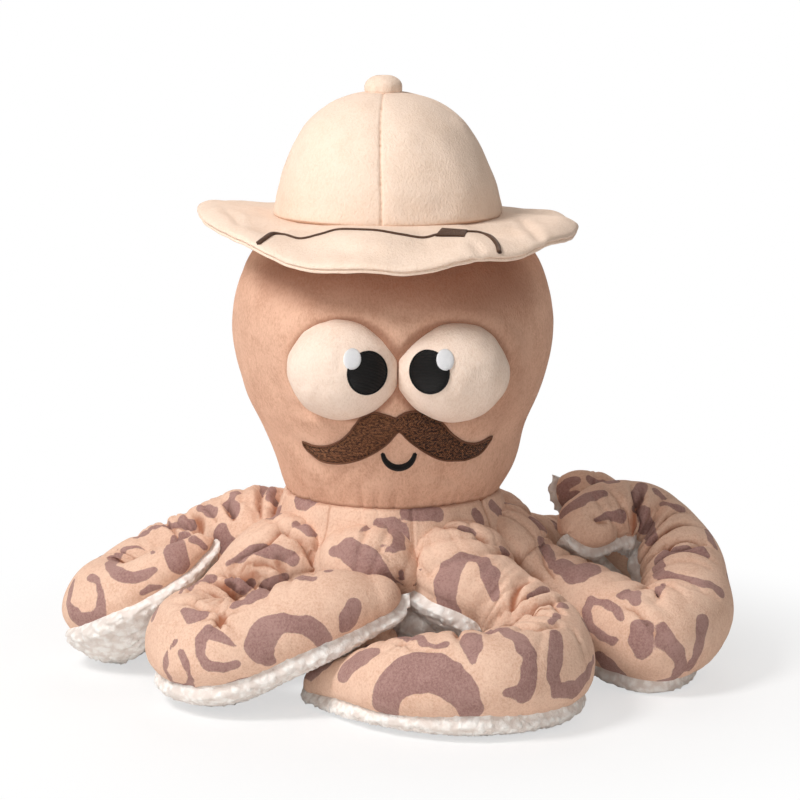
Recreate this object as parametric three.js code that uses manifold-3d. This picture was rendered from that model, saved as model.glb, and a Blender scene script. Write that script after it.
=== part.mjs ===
// A stuffed octopus of short plush, about 30 cm across, with eight curling arms and a brimmed hat.
// Millimetres, +Z up, the face looks along -Y, and the toy rests on the plane Z = 0.

import * as THREE from 'three';
import { mergeVertices } from 'three/addons/utils/BufferGeometryUtils.js';
import Module from 'manifold-3d';

const wasm = await Module();
wasm.setup();

// Sizes for the whole toy

const seamGap = 0.3;            // room left between two pieces that are sewn or pressed together
const cutOverrun = 20;          // how far a cutter runs past what it cuts
const restingFlat = 0.5;        // depth of the flats that the soft undersides have on the ground

// Head: its outline runs from the neck seam up to the closed top

const neckRadius = 47.5;
const neckHeight = 80;
const cheekRadius = 71;
const headTopHeight = 203;
const headSkinWall = 2;
const headOutlineShares = [     // radius of cheekRadius, height from neck to top
    [0.72, 0.08], [0.82, 0.24], [0.93, 0.4], [1, 0.58], [0.975, 0.74], [0.9, 0.85],
    [0.76, 0.94], [0.42, 1],
];
const headSides = 22;

// Body under the head: a printed ring at the neck, and a sherpa bag that ends in the flat base

const yokeRadius = 50;
const yokeInnerRadius = 30;
const yokeHeight = 11;
const yokeRimHeight = 2.2;
const yokeUndercut = 5.5;       // the ring's underside slopes up outwards, so that a lifted arm clears it
const bellyTopRadius = 36;
const bellyRadius = 37;
const bellyBaseRadius = 28;
const bellyHeight = 27;
const bellyWall = 2;
const bodySides = 20;

// Arms

const rootRadius = 46;          // from the toy's axis to the seam where an arm bends
const rootHeight = 50;
const rootBallRadius = 17;      // the round end that fills the socket in the body
const socketSides = 10;
const socketRoom = 1.5;         // room for an arm's round end to turn in
const armSpan = 150;            // plan distances in the arm table are shares of this
const armHalfWidth = 22;
const armHalfHeight = 22;
const armWall = 3;
const armSteps = 9;
const armSides = 8;
const capSteps = 1;             // more steps that round off each end of the arm
const capTurn = 50;             // degrees for each of those
const elasticWidthShare = 0.06; // sizes of the elastic, of the section's half sizes
const elasticHeightShare = 0.1;
const elasticEdgeShare = 0.72;  // how far out in the wall it lies
const elasticSteps = [2, 7];    // the steps of the arm between which it runs
const fillLastStep = 8;         // the step at which the filling ends
const seamHeightShare = -0.5;   // where cover and underside meet, down from the middle of the section
const seamCutMargin = 0.6;      // how much larger than the arm its seam cutter is
const tightestTurnShare = 0.75; // how much of a turn's radius the inside of the arm may fill

// Each arm: where it leaves the body (degrees, 0 at the front, positive to the right of someone facing
// the toy), which way it curls seen from above (1 anticlockwise), and its middle line as rows of
// [x, y of armSpan, z of rootHeight, half-width of armHalfWidth, half-height of armHalfHeight]

const arms = [
    { name: 'arm_front', angle: -11.5, curl: 1, rowShares: [
        [-0.083, -0.39, 0.82, 0.64, 0.66], [-0.067, -0.413, 0.56, 0.56, 0.58],
        [-0.02, -0.413, 0.33, 0.48, 0.5], [0.047, -0.38, 0.19, 0.34, 0.36],
        [0.093, -0.333, 0.13, 0.22, 0.24]] },
    { name: 'arm_front_right', angle: 34.5, curl: -1, rowShares: [
        [0.24, -0.333, 0.92, 0.75, 0.8], [0.347, -0.4, 0.72, 0.82, 0.9], [0.44, -0.513, 0.5, 0.91, 0.98],
        [0.413, -0.66, 0.45, 0.93, 0.98], [0.247, -0.76, 0.45, 0.91, 0.98], [0.047, -0.713, 0.4, 0.8, 0.86],
        [-0.107, -0.587, 0.28, 0.55, 0.6], [-0.207, -0.473, 0.18, 0.3, 0.36]] },
    { name: 'arm_right', angle: 80, curl: 1, rowShares: [
        [0.387, -0.08, 0.84, 0.77, 0.85], [0.593, -0.2, 0.58, 0.84, 0.98], [0.767, -0.313, 0.46, 0.91, 0.98],
        [0.873, -0.193, 0.54, 0.95, 1], [0.893, 0.02, 0.84, 0.91, 0.91], [0.8, 0.147, 1.16, 0.77, 0.77],
        [0.653, 0.153, 1.26, 0.64, 0.64], [0.52, 0.093, 1.1, 0.38, 0.38]] },
    { name: 'arm_back_right', angle: 125, curl: -1, rowShares: [
        [0.32, 0.287, 0.9, 0.75, 0.85], [0.42, 0.467, 0.64, 0.84, 0.95], [0.533, 0.64, 0.48, 0.93, 1],
        [0.707, 0.64, 0.46, 0.93, 1], [0.8, 0.48, 0.52, 0.82, 0.93], [0.7, 0.373, 0.78, 0.66, 0.75],
        [0.573, 0.353, 1.16, 0.5, 0.57], [0.513, 0.333, 1.4, 0.3, 0.34]] },
    { name: 'arm_back', angle: 170, curl: 1, rowShares: [
        [0.053, 0.38, 0.88, 0.73, 0.85], [0.04, 0.533, 0.6, 0.77, 0.95], [-0.02, 0.68, 0.46, 0.77, 0.95],
        [-0.127, 0.7, 0.44, 0.66, 0.86], [-0.173, 0.593, 0.5, 0.45, 0.64], [-0.147, 0.507, 0.6, 0.27, 0.34]] },
    { name: 'arm_back_left', angle: -146, curl: 1, rowShares: [
        [-0.247, 0.34, 0.9, 0.75, 0.85], [-0.373, 0.513, 0.62, 0.86, 0.95], [-0.493, 0.633, 0.47, 0.91, 1],
        [-0.64, 0.647, 0.45, 0.91, 1], [-0.747, 0.533, 0.46, 0.8, 0.95], [-0.7, 0.413, 0.64, 0.55, 0.68],
        [-0.6, 0.387, 0.84, 0.36, 0.45], [-0.547, 0.407, 0.92, 0.23, 0.27]] },
    { name: 'arm_left', angle: -101, curl: 1, rowShares: [
        [-0.44, 0.113, 1.02, 0.95, 1.07], [-0.64, 0.14, 0.78, 1, 1.03], [-0.793, 0.08, 0.56, 1.02, 1.05],
        [-0.84, -0.047, 0.52, 0.95, 1.05], [-0.76, -0.14, 0.68, 0.68, 0.8], [-0.65, -0.14, 0.92, 0.48, 0.57],
        [-0.573, -0.1, 1.08, 0.28, 0.34]] },
    { name: 'arm_front_left', angle: -56.5, curl: 1, rowShares: [
        [-0.367, -0.22, 1, 0.8, 0.93], [-0.507, -0.3, 0.76, 0.84, 0.95], [-0.573, -0.42, 0.52, 0.93, 1.05],
        [-0.487, -0.54, 0.52, 0.91, 1], [-0.327, -0.567, 0.7, 0.82, 0.88], [-0.167, -0.553, 0.88, 0.6, 0.66],
        [-0.027, -0.52, 0.95, 0.25, 0.27]] },
];

// Eyes, on the front of the head

const eyeHeight = 144.5;
const eyeHalfSizes = [23.4, 20, 21.3];     // across, front to back, upright
const eyeSetForward = 61;                  // from the head's axis to the middle of an eye
const eyeMeet = 2.75;                      // where the two eyes touch, right of the head's middle
const eyePress = 0.75;                     // how far each eye is flattened against the other
const eyeSides = 14;
const pupilHalfSizes = [8.4, 9.2];
const pupilOffset = 9.95;                  // from an eye's middle towards the other eye
const pupilDrop = 0.5;
const pupilSides = 14;
const highlightHalfSizes = [3.8, 4.4];
const highlightShares = [0.8, 0.74];       // from the pupil's middle, outwards and up, of its half sizes
const highlightSides = 10;
const embroideryThickness = 0.8;

// Moustache and smile, on the front of the head under the eyes

const moustacheHalfWidth = 40.5;
const moustacheHalfHeight = 10.8;
const moustacheCentre = [2.3, 115.5];
const moustacheShares = [                  // upper edge from the middle to the tip, then the lower edge back
    [0, 0.92], [0.2, 1], [0.36, 0.76], [0.53, 0.16], [0.69, -0.24], [0.87, -0.32], [1, -0.24],
    [0.9, -0.64], [0.78, -0.96], [0.6, -1], [0.33, -0.76], [0.12, -0.32], [0, 0.2],
];
const smileCentre = [2.8, 107.5];
const smileHalfWidth = 7;
const smileDrop = 5.4;
const smileThickness = 2.4;
const smileEndThickness = 0.8;
const smileSteps = 6;

// Hat

const hatOffset = -1.7;                    // the hat sits a little to one side of the head's middle
const crownRadius = 50.3;
const crownBaseHeight = 204.5;
const crownTopHeight = 257;
const crownWall = 2;
const crownOutlineShares = [               // radius of crownRadius, height from base to top
    [1, 0], [0.98, 0.16], [0.945, 0.3], [0.84, 0.56], [0.66, 0.8], [0.42, 0.945], [0.18, 1],
];
const crownSides = 20;
const buttonRadius = 8.5;
const buttonHalfHeight = 5.5;
const buttonSink = 3;                      // how deep the button's base presses into the crown's top
const buttonSides = 14;
const brimRadius = 84;
const brimLayer = 1.8;
const brimSides = 32;
const brimSteps = 2;
const brimFrontDrop = 14;                  // how far the front and back edges hang below the crown's base
const brimSideRise = 2;
const brimTilt = 2.6;                      // the left edge is this much higher, the right edge lower
const brimRipple = 1.4;
const brimRippleCount = 7;
const brimFrontReach = 4;                  // the front of the brim reaches this much further out
const strapRadii = [66, 69];
const strapHalfAngle = 47;                 // degrees either side of the front
const buckleRadii = [63.5, 71.5];
const buckleAngles = [19, 30];             // degrees from the front
const buckleClearAngle = 1;

// Finishes

const soft = { roughness: 0.95, metalness: 0 };
const stitched = { roughness: 0.6, metalness: 0 };
const tanPlush = new THREE.MeshStandardMaterial({ color: '#dcb496', ...soft });
const printedPlush = new THREE.MeshStandardMaterial({ color: '#d9a98a', ...soft });
const sherpa = new THREE.MeshStandardMaterial({ color: '#f1e8dd', ...soft });
const hatFelt = new THREE.MeshStandardMaterial({ color: '#f8e6d2', ...soft });
const eyePlush = new THREE.MeshStandardMaterial({ color: '#efe0cc', ...soft });
const fibreFill = new THREE.MeshStandardMaterial({ color: '#f4f4f2', ...soft });
const blackThread = new THREE.MeshStandardMaterial({ color: '#14100e', ...stitched });
const whiteThread = new THREE.MeshStandardMaterial({ color: '#fbfaf8', ...stitched });
const brownThread = new THREE.MeshStandardMaterial({ color: '#5d3a24', ...stitched });
const elasticBand = new THREE.MeshStandardMaterial({ color: '#e9e4dc', ...stitched });

// Closed three.js geometry as a solid for cutting and joining, and back again

function solid(geometry) {
    const bare = geometry.clone();
    bare.deleteAttribute('normal');
    bare.deleteAttribute('uv');
    const merged = mergeVertices(bare);
    return new wasm.Manifold(new wasm.Mesh({
        numProp: 3,
        vertProperties: new Float32Array(merged.attributes.position.array),
        triVerts: new Uint32Array(merged.index.array),
    }));
}

// One closed body: what a cut leaves over beside the largest piece is dropped
function named(name, body, material) {
    const whole = body.decompose().reduce((a, b) => (b.volume() > a.volume() ? b : a));
    const { vertProperties, triVerts } = whole.getMesh();
    const geometry = new THREE.BufferGeometry();
    geometry.setAttribute('position', new THREE.BufferAttribute(vertProperties, 3));
    geometry.setIndex(new THREE.BufferAttribute(triVerts, 1));
    const mesh = new THREE.Mesh(geometry, material);
    mesh.name = name;
    return mesh;
}

// A solid turned about the Z axis from points of [radius, height]
function turned(points, sides) {
    const profile = points.map(([radius, height]) => new THREE.Vector2(radius, height));
    const geometry = new THREE.LatheGeometry(profile, sides);
    geometry.rotateX(Math.PI / 2);
    return solid(geometry);
}

function block(size, centre) {
    const geometry = new THREE.BoxGeometry(...size);
    geometry.translate(...centre);
    return solid(geometry);
}

function ball(radii, centre, sides) {
    const geometry = new THREE.SphereGeometry(1, sides, Math.round(sides / 2) + 1);
    geometry.rotateX(Math.PI / 2);
    geometry.scale(...radii);
    geometry.translate(...centre);
    return solid(geometry);
}

// An outline in the XZ plane pushed forward from a given distance in front of the head's axis
function stamp(outline, from) {
    const shape = new THREE.Shape(outline.map(([x, z]) => new THREE.Vector2(x, z)));
    const depth = cheekRadius + cutOverrun;
    const geometry = new THREE.ExtrudeGeometry(shape, { depth, bevelEnabled: false });
    geometry.rotateX(Math.PI / 2);
    geometry.translate(0, -from, 0);
    return solid(geometry);
}

function ellipse(halfSizes, centre, sides) {
    return Array.from({ length: sides }, (_, i) => {
        const turn = (i / sides) * 2 * Math.PI;
        return [centre[0] + halfSizes[0] * Math.cos(turn), centre[1] + halfSizes[1] * Math.sin(turn)];
    });
}

// Head

const upward = [0, 0, 1];

function headSolid(growth, bottom) {
    const rise = headTopHeight - neckHeight;
    const outline = headOutlineShares.map(([radius, height]) => [
        radius * cheekRadius + growth,
        neckHeight + height * (rise + growth),
    ]);
    const foot = neckHeight - cutOverrun;
    const neck = neckRadius + growth;
    const top = headTopHeight + growth;
    return turned([[0, foot], [neck, foot], [neck, neckHeight], ...outline, [0, top]], headSides)
        .trimByPlane(upward, bottom);
}

function makeHeadSkin() {
    return headSolid(0, neckHeight).subtract(headSolid(-headSkinWall, neckHeight - cutOverrun));
}

// Body: the sherpa bag, the ring above it, and one mass of stuffing from the base up to the top of the head

const bellyTopHeight = neckHeight - yokeHeight - 2 * seamGap;

function bellySolid(growth, top) {
    return turned([
        [0, -growth], [bellyBaseRadius + growth, -growth], [bellyRadius + growth, bellyHeight / 2],
        [bellyTopRadius + growth, bellyHeight], [bellyTopRadius + growth, top], [0, top],
    ], bodySides);
}

function cutSockets(body) {
    return arms.reduce((left, arm) => left.subtract(socket(arm)), body);
}

function makeBellyCover() {
    const hollow = bellySolid(-bellyWall, bellyTopHeight + cutOverrun);
    return cutSockets(bellySolid(0, bellyTopHeight).subtract(hollow));
}

function makeBodyStuffing() {
    const head = headSolid(-headSkinWall - seamGap, neckHeight + seamGap);
    const neckOverlap = neckHeight + 2 * seamGap;
    const neckBase = bellyTopHeight - seamGap;
    const neckReach = yokeInnerRadius - seamGap;
    const neck = turned([
        [0, neckBase], [neckReach, neckBase], [neckReach, neckOverlap], [0, neckOverlap],
    ], bodySides);
    const belly = cutSockets(bellySolid(-bellyWall - seamGap, bellyTopHeight));
    return belly.add(neck).add(head);
}

function makeYoke() {
    const top = neckHeight - seamGap;
    const base = top - yokeHeight;
    const rimBase = top - yokeRimHeight;
    return turned([
        [yokeInnerRadius, base], [rootRadius - yokeUndercut, base + yokeRimHeight], [yokeRadius, rimBase],
        [neckRadius, top], [yokeInnerRadius, top], [yokeInnerRadius, base],
    ], bodySides);
}

// Arms: a section in unit sizes follows an arm's middle line, and swells, turns and tapers with it

function rootPoint(arm) {
    const angle = THREE.MathUtils.degToRad(arm.angle);
    return new THREE.Vector3(rootRadius * Math.sin(angle), -rootRadius * Math.cos(angle), rootHeight);
}

// The room in the body that an arm's round end turns in
function socket(arm) {
    const radius = rootBallRadius + socketRoom;
    return ball([radius, radius, radius], rootPoint(arm).toArray(), socketSides);
}

function spineOf(arm) {
    const centres = [rootPoint(arm)];
    const halfSizes = [new THREE.Vector2(rootBallRadius, rootBallRadius)];
    for (const [x, y, z, width, height] of arm.rowShares) {
        const halfHeight = height * armHalfHeight;
        const middle = Math.max(z * rootHeight, halfHeight - restingFlat);
        centres.push(new THREE.Vector3(x * armSpan, y * armSpan, middle));
        halfSizes.push(new THREE.Vector2(width * armHalfWidth, halfHeight));
    }
    const line = new THREE.CatmullRomCurve3(centres, false, 'centripetal');
    return { line, sizes: new THREE.SplineCurve(halfSizes), curl: arm.curl };
}

// The radius of the turn, seen from above, between two steps of the middle line
function turnRadius(line, first, last) {
    const [from, to] = [first, last].map((step) => THREE.MathUtils.clamp(step, 0, armSteps) / armSteps);
    const travel = line.getPoint(from).setZ(0).distanceTo(line.getPoint(to).setZ(0));
    return travel / line.getTangent(from).setZ(0).angleTo(line.getTangent(to).setZ(0)) || Infinity;
}

// The section's frame and half sizes at a step of the middle line; a tight turn narrows its inside
function stationAt({ line, sizes, curl }, step) {
    const share = step / armSteps;
    const along = line.getTangent(share);
    const across = new THREE.Vector3(...upward).cross(along).normalize();
    const up = along.clone().cross(across);
    const { x: halfWidth, y: halfHeight } = sizes.getPoint(share);
    const radius = Math.min(turnRadius(line, step - 1, step), turnRadius(line, step, step + 1));
    const innerWidth = Math.min(halfWidth, tightestTurnShare * radius);
    return { centre: line.getPoint(share), along, across: across.multiplyScalar(curl), up, halfHeight,
        halfWidth, innerWidth };
}

// A section's points are [side, height] in shares of the half sizes, the inside of the curl at side 1
function ringAt(spine, step, section, growth, push) {
    const inside = THREE.MathUtils.clamp(step, 0, armSteps);
    const station = stationAt(spine, inside);
    const turn = THREE.MathUtils.degToRad((step - inside) * capTurn);
    const reach = (station.halfHeight + growth) * Math.sin(turn) + push;
    return section(station, growth).map(([side, height]) => {
        const width = (side > 0 ? station.innerWidth : station.halfWidth) + growth;
        return station.centre.clone()
            .addScaledVector(station.along, reach)
            .addScaledVector(station.across, side * width * Math.cos(turn))
            .addScaledVector(station.up, height * (station.halfHeight + growth) * Math.cos(turn));
    });
}

// A run of the arm from one step to another, with both its ends pushed out: a cylinder is bent along
// the middle line, and each of its corners goes to a corner of the section
function bent(spine, section, growth, [first, last], push) {
    const steps = last - first;
    const rings = Array.from({ length: steps + 1 }, (_, i) => {
        const outward = Number(i === steps) - Number(i === 0);
        return ringAt(spine, first + i, section, growth, outward * push);
    });
    const corners = rings[0].length;
    const geometry = new THREE.CylinderGeometry(1, 1, 1, corners, steps);
    const position = geometry.attributes.position;
    for (let i = 0; i < position.count; i += 1) {
        const [x, y, z] = [position.getX(i), position.getY(i), position.getZ(i)];
        const ring = rings[Math.round((y + 1 / 2) * steps)];
        const corner = Math.round((Math.atan2(x, z) * spine.curl / (2 * Math.PI) + 1) * corners) % corners;
        const middle = ring.reduce((sum, point) => sum.add(point), new THREE.Vector3()).divideScalar(corners);
        const place = Math.hypot(x, z) > 1 / 2 ? ring[corner] : middle;
        position.setXYZ(i, place.x, place.y, place.z);
    }
    return solid(geometry);
}

function roundSection() {
    return ellipse([1, 1], [0, 0], armSides);
}

// The part of the round section above the seam that runs round the arm
function seamSection({ halfHeight }, growth) {
    const level = seamHeightShare * halfHeight / (halfHeight + growth);
    const corners = roundSection();
    const crossings = corners.flatMap(([x, y], i) => {
        const [nextX, nextY] = corners[(i + 1) % armSides];
        const share = (level - y) / (nextY - y);
        return share >= 0 && share < 1 ? [[x + share * (nextX - x), level]] : [];
    });
    const above = corners.filter(([, y]) => y > level);
    return [...above, ...crossings].sort((a, b) => Math.atan2(a[1], a[0]) - Math.atan2(b[1], b[0]));
}

// A small rectangle inside the wall at the inside of the curl, where cover and underside meet
function elasticSection({ innerWidth, halfHeight }, growth) {
    const wider = innerWidth / (innerWidth + growth);
    const taller = halfHeight / (halfHeight + growth);
    const outer = elasticEdgeShare * wider + growth / innerWidth;
    const inner = (elasticEdgeShare - elasticWidthShare) * wider - growth / innerWidth;
    const middle = seamHeightShare * taller;
    const half = elasticHeightShare / 2 * taller + growth / halfHeight;
    return [[inner, middle - half], [outer, middle - half], [outer, middle + half], [inner, middle + half]];
}

function makeArm(arm) {
    const spine = spineOf(arm);
    const allSteps = [-capSteps, armSteps + capSteps];
    const fillSteps = [-capSteps, fillLastStep];
    const hollow = bent(spine, roundSection, -armWall, fillSteps, 0);
    const bandRoom = bent(spine, elasticSection, seamGap, elasticSteps, seamGap);
    const skin = bent(spine, roundSection, 0, allSteps, 0).subtract(hollow).subtract(bandRoom);
    const above = bent(spine, seamSection, seamCutMargin, allSteps, seamCutMargin);
    const cover = skin.intersect(above.translate([0, 0, seamGap]));
    const ground = block([3 * armSpan, 3 * armSpan, cutOverrun], [0, 0, -cutOverrun / 2]);
    const underside = skin.subtract(above).subtract(cover).subtract(ground);
    const fill = bent(spine, roundSection, -armWall - seamGap, fillSteps, -seamGap);
    const elastic = bent(spine, elasticSection, 0, elasticSteps, 0);
    return [
        named(`${arm.name}_cover`, cover, printedPlush),
        named(`${arm.name}_underside`, underside, sherpa),
        named(`${arm.name}_stuffing`, fill.intersect(hollow).subtract(bandRoom), fibreFill),
        named(`${arm.name}_elastic`, elastic, elasticBand),
    ];
}

// Eyes and what is embroidered on them

function eyeCentre(side) {
    return [eyeMeet + side * (eyeHalfSizes[0] - eyePress), -eyeSetForward, eyeHeight];
}

function eyeSolid(side, growth) {
    return ball(eyeHalfSizes.map((size) => size + growth), eyeCentre(side), eyeSides);
}

function makeEye(side) {
    const reach = 3 * eyeHalfSizes[0];
    const halfSpace = block([reach, reach, reach],
        [eyeMeet + side * (reach + seamGap) / 2, -eyeSetForward, eyeHeight]);
    return eyeSolid(side, 0).intersect(halfSpace).subtract(headSolid(seamGap, neckHeight));
}

function onEye(side, outline, base, thickness) {
    return stamp(outline, eyeSetForward).intersect(eyeSolid(side, base + thickness)).subtract(eyeSolid(side, base));
}

function pupilMiddle(side) {
    return [eyeCentre(side)[0] - side * pupilOffset, eyeHeight - pupilDrop];
}

function makePupil(side) {
    const outline = ellipse(pupilHalfSizes, pupilMiddle(side), pupilSides);
    return onEye(side, outline, seamGap, embroideryThickness);
}

function makeHighlight(side) {
    const [x, z] = pupilMiddle(side);
    const middle = [x + side * highlightShares[0] * pupilHalfSizes[0], z + highlightShares[1] * pupilHalfSizes[1]];
    const outline = ellipse(highlightHalfSizes, middle, highlightSides);
    return onEye(side, outline, 2 * seamGap + embroideryThickness, embroideryThickness);
}

// Moustache and smile

function onHead(outline) {
    const patch = stamp(outline, 0)
        .intersect(headSolid(seamGap + embroideryThickness, neckHeight))
        .subtract(headSolid(seamGap, neckHeight));
    return patch.subtract(eyeSolid(-1, seamGap)).subtract(eyeSolid(1, seamGap));
}

function makeMoustache() {
    const place = (side) => ([x, z]) => [
        moustacheCentre[0] + side * x * moustacheHalfWidth,
        moustacheCentre[1] + z * moustacheHalfHeight,
    ];
    const right = moustacheShares.map(place(1));
    const left = moustacheShares.slice(1, -1).reverse().map(place(-1));
    return onHead([...right, ...left]);
}

function makeSmile() {
    const edge = (side) => Array.from({ length: smileSteps + 1 }, (_, i) => {
        const share = (2 * i) / smileSteps - 1;
        const full = 1 - share ** 2;
        const thickness = smileEndThickness + full * (smileThickness - smileEndThickness);
        return [
            smileCentre[0] + share * smileHalfWidth,
            smileCentre[1] - smileDrop * full + side * thickness / 2,
        ];
    });
    return onHead([...edge(-1), ...edge(1).reverse()]);
}

// Hat: crown in four panels over its stuffing, button, two brim layers, strap and buckle

function crownSolid(growth, bottom) {
    const rise = crownTopHeight - crownBaseHeight;
    const outline = crownOutlineShares.map(([radius, height]) => [
        radius * crownRadius + growth,
        crownBaseHeight + height * (rise + growth),
    ]);
    const foot = crownBaseHeight - cutOverrun;
    const top = crownTopHeight + growth;
    return turned([[0, foot], [crownRadius + growth, foot], ...outline, [0, top]], crownSides)
        .translate([hatOffset, 0, 0])
        .trimByPlane(upward, bottom)
        .subtract(buttonSolid(seamGap));
}

function makeCrownPanels() {
    const hollow = crownSolid(-crownWall, crownBaseHeight - cutOverrun);
    const shell = crownSolid(0, crownBaseHeight).subtract(hollow).subtract(buttonSolid(seamGap));
    const size = crownRadius + cutOverrun;
    const quarters = { front_left: [-1, -1], front_right: [1, -1], back_left: [-1, 1], back_right: [1, 1] };
    return Object.entries(quarters).map(([name, [x, y]]) => {
        const reach = (size + seamGap) / 2;
        const quarter = block([size, size, 2 * size], [hatOffset + x * reach, y * reach, crownBaseHeight]);
        return named(`hat_crown_${name}`, shell.intersect(quarter), hatFelt);
    });
}

function makeHatStuffing() {
    return crownSolid(-crownWall - seamGap, headTopHeight + seamGap);
}

function buttonSolid(growth) {
    const radius = buttonRadius + growth;
    const middle = crownTopHeight + buttonHalfHeight - buttonSink;
    return ball([radius, radius, buttonHalfHeight + growth], [hatOffset, 0, middle], buttonSides);
}

// How far the brim is lifted at a place: it leaves the crown level and sweeps down at front and back
function brimLift(radius, angle) {
    const out = Math.max(0, (radius - crownRadius) / (brimRadius - crownRadius));
    const level = (brimSideRise - brimFrontDrop) / 2;
    const swing = (brimSideRise + brimFrontDrop) / 2;
    const ripple = brimRipple * Math.sin(brimRippleCount * angle) * out;
    return out * (level - swing * Math.cos(2 * angle) - brimTilt * Math.sin(angle) + ripple);
}

// A ring that follows the brim, between two radii and two heights above the brim's top surface
function brimRing([innerRadius, outerRadius], [bottom, top], steps) {
    const width = outerRadius - innerRadius;
    const radii = Array.from({ length: steps + 1 }, (_, i) => innerRadius + (i / steps) * width);
    const low = radii.map((radius) => [radius, bottom]);
    const high = radii.map((radius) => [radius, top]).reverse();
    const profile = [...low, ...high, low[0]].map(([radius, height]) => new THREE.Vector2(radius, height));
    const geometry = new THREE.LatheGeometry(profile, brimSides);
    geometry.rotateX(Math.PI / 2);
    const position = geometry.attributes.position;
    for (let i = 0; i < position.count; i += 1) {
        const [x, y] = [position.getX(i), position.getY(i)];
        const radius = Math.hypot(x, y);
        const angle = Math.atan2(x, -y);
        const out = Math.max(0, (radius - crownRadius) / (brimRadius - crownRadius));
        const reach = 1 + out * (brimFrontReach / brimRadius) * Math.cos(angle) ** 2;
        const height = crownBaseHeight - seamGap + brimLift(radius, angle) + position.getZ(i);
        position.setXYZ(i, x * reach + hatOffset, y * reach, height);
    }
    return solid(geometry);
}

const brimRadii = [crownRadius - crownWall + seamGap, brimRadius];

function makeBrimTop() {
    return brimRing(brimRadii, [-brimLayer, 0], brimSteps);
}

function makeBrimUnderside() {
    const solidBelow = brimRing(brimRadii, [-2 * brimLayer - seamGap, -brimLayer], brimSteps);
    return solidBelow.subtract(makeBrimTop().translate([0, 0, -seamGap]));
}

// A wedge seen from above, between two angles from the front, for cutting pieces out of a ring
function wedge([from, to]) {
    const reach = 2 * brimRadius;
    const corners = [from, (from + to) / 2, to].map((degrees) => {
        const angle = THREE.MathUtils.degToRad(degrees);
        return new THREE.Vector2(reach * Math.sin(angle), -reach * Math.cos(angle));
    });
    const shape = new THREE.Shape([new THREE.Vector2(0, 0), ...corners]);
    const geometry = new THREE.ExtrudeGeometry(shape, { depth: 2 * crownBaseHeight, bevelEnabled: false });
    geometry.translate(hatOffset, 0, 0);
    return solid(geometry);
}

function onBrim(radii, angles) {
    return brimRing(radii, [seamGap, seamGap + embroideryThickness], 1).intersect(wedge(angles));
}

// The strap stops at the buckle and goes on behind it
function makeStrap(name, angles) {
    return named(`hat_strap_${name}`, onBrim(strapRadii, angles), brownThread);
}

// The whole toy, with the middle of its footprint at the origin

const octopus = new THREE.Group();
octopus.add(named('head_skin', makeHeadSkin(), tanPlush));
octopus.add(named('body_stuffing', makeBodyStuffing(), fibreFill));
octopus.add(named('yoke', makeYoke(), printedPlush));
octopus.add(named('belly_cover', makeBellyCover(), sherpa));
for (const arm of arms) {
    octopus.add(...makeArm(arm));
}
for (const [name, side] of [['left', -1], ['right', 1]]) {
    octopus.add(named(`eye_${name}`, makeEye(side), eyePlush));
    octopus.add(named(`pupil_${name}`, makePupil(side), blackThread));
    octopus.add(named(`highlight_${name}`, makeHighlight(side), whiteThread));
}
octopus.add(named('moustache', makeMoustache(), brownThread));
octopus.add(named('smile', makeSmile(), blackThread));
octopus.add(...makeCrownPanels());
octopus.add(named('hat_stuffing', makeHatStuffing(), fibreFill));
octopus.add(named('hat_button', buttonSolid(0), hatFelt));
octopus.add(named('hat_brim_top', makeBrimTop(), hatFelt));
octopus.add(named('hat_brim_underside', makeBrimUnderside(), hatFelt));
octopus.add(makeStrap('left', [-strapHalfAngle, buckleAngles[0] - buckleClearAngle]));
octopus.add(makeStrap('right', [buckleAngles[1] + buckleClearAngle, strapHalfAngle]));
octopus.add(named('hat_buckle', onBrim(buckleRadii, buckleAngles), brownThread));

const footprint = new THREE.Box3().setFromObject(octopus).getCenter(new THREE.Vector3());
for (const mesh of octopus.children) {
    mesh.position.set(-footprint.x, -footprint.y, 0);
}

export default octopus;
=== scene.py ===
# %% [markdown]
# # A plush octopus in a brimmed hat
# The toy is a stuffed bag of tan short plush with eight curled arms, two bulging eyes, an
# embroidered moustache and a hat of pale plush. Each piece is made the way a toy maker would think
# of it: a skin with a seam, a filling that swells it, and a thread or an elastic that pulls it in.
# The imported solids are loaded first, because every piece has to sit where its solid is.

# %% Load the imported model
import math
import random

import bmesh
import bpy
import numpy as np
from mathutils import Matrix, Vector, noise
from mathutils.bvhtree import BVHTree


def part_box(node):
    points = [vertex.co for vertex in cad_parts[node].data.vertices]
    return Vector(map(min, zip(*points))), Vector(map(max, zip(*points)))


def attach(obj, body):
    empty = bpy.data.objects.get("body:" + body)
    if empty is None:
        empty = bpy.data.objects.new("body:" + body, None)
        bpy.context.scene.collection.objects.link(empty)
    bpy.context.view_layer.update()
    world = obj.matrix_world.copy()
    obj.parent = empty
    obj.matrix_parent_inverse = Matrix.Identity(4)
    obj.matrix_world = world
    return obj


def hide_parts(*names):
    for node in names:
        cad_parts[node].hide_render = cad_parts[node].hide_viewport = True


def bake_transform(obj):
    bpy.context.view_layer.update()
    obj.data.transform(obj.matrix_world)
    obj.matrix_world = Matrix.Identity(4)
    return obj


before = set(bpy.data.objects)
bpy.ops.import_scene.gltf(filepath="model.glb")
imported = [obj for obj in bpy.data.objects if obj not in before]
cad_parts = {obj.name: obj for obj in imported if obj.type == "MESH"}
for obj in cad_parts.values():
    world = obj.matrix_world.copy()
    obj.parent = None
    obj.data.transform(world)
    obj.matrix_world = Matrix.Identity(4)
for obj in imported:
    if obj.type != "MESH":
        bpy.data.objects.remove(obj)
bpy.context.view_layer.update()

# %% [markdown]
# Every length below is measured from the axis of the toy's head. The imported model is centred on
# its own box instead, so the middle of the head's box gives the shift between the two.

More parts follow.
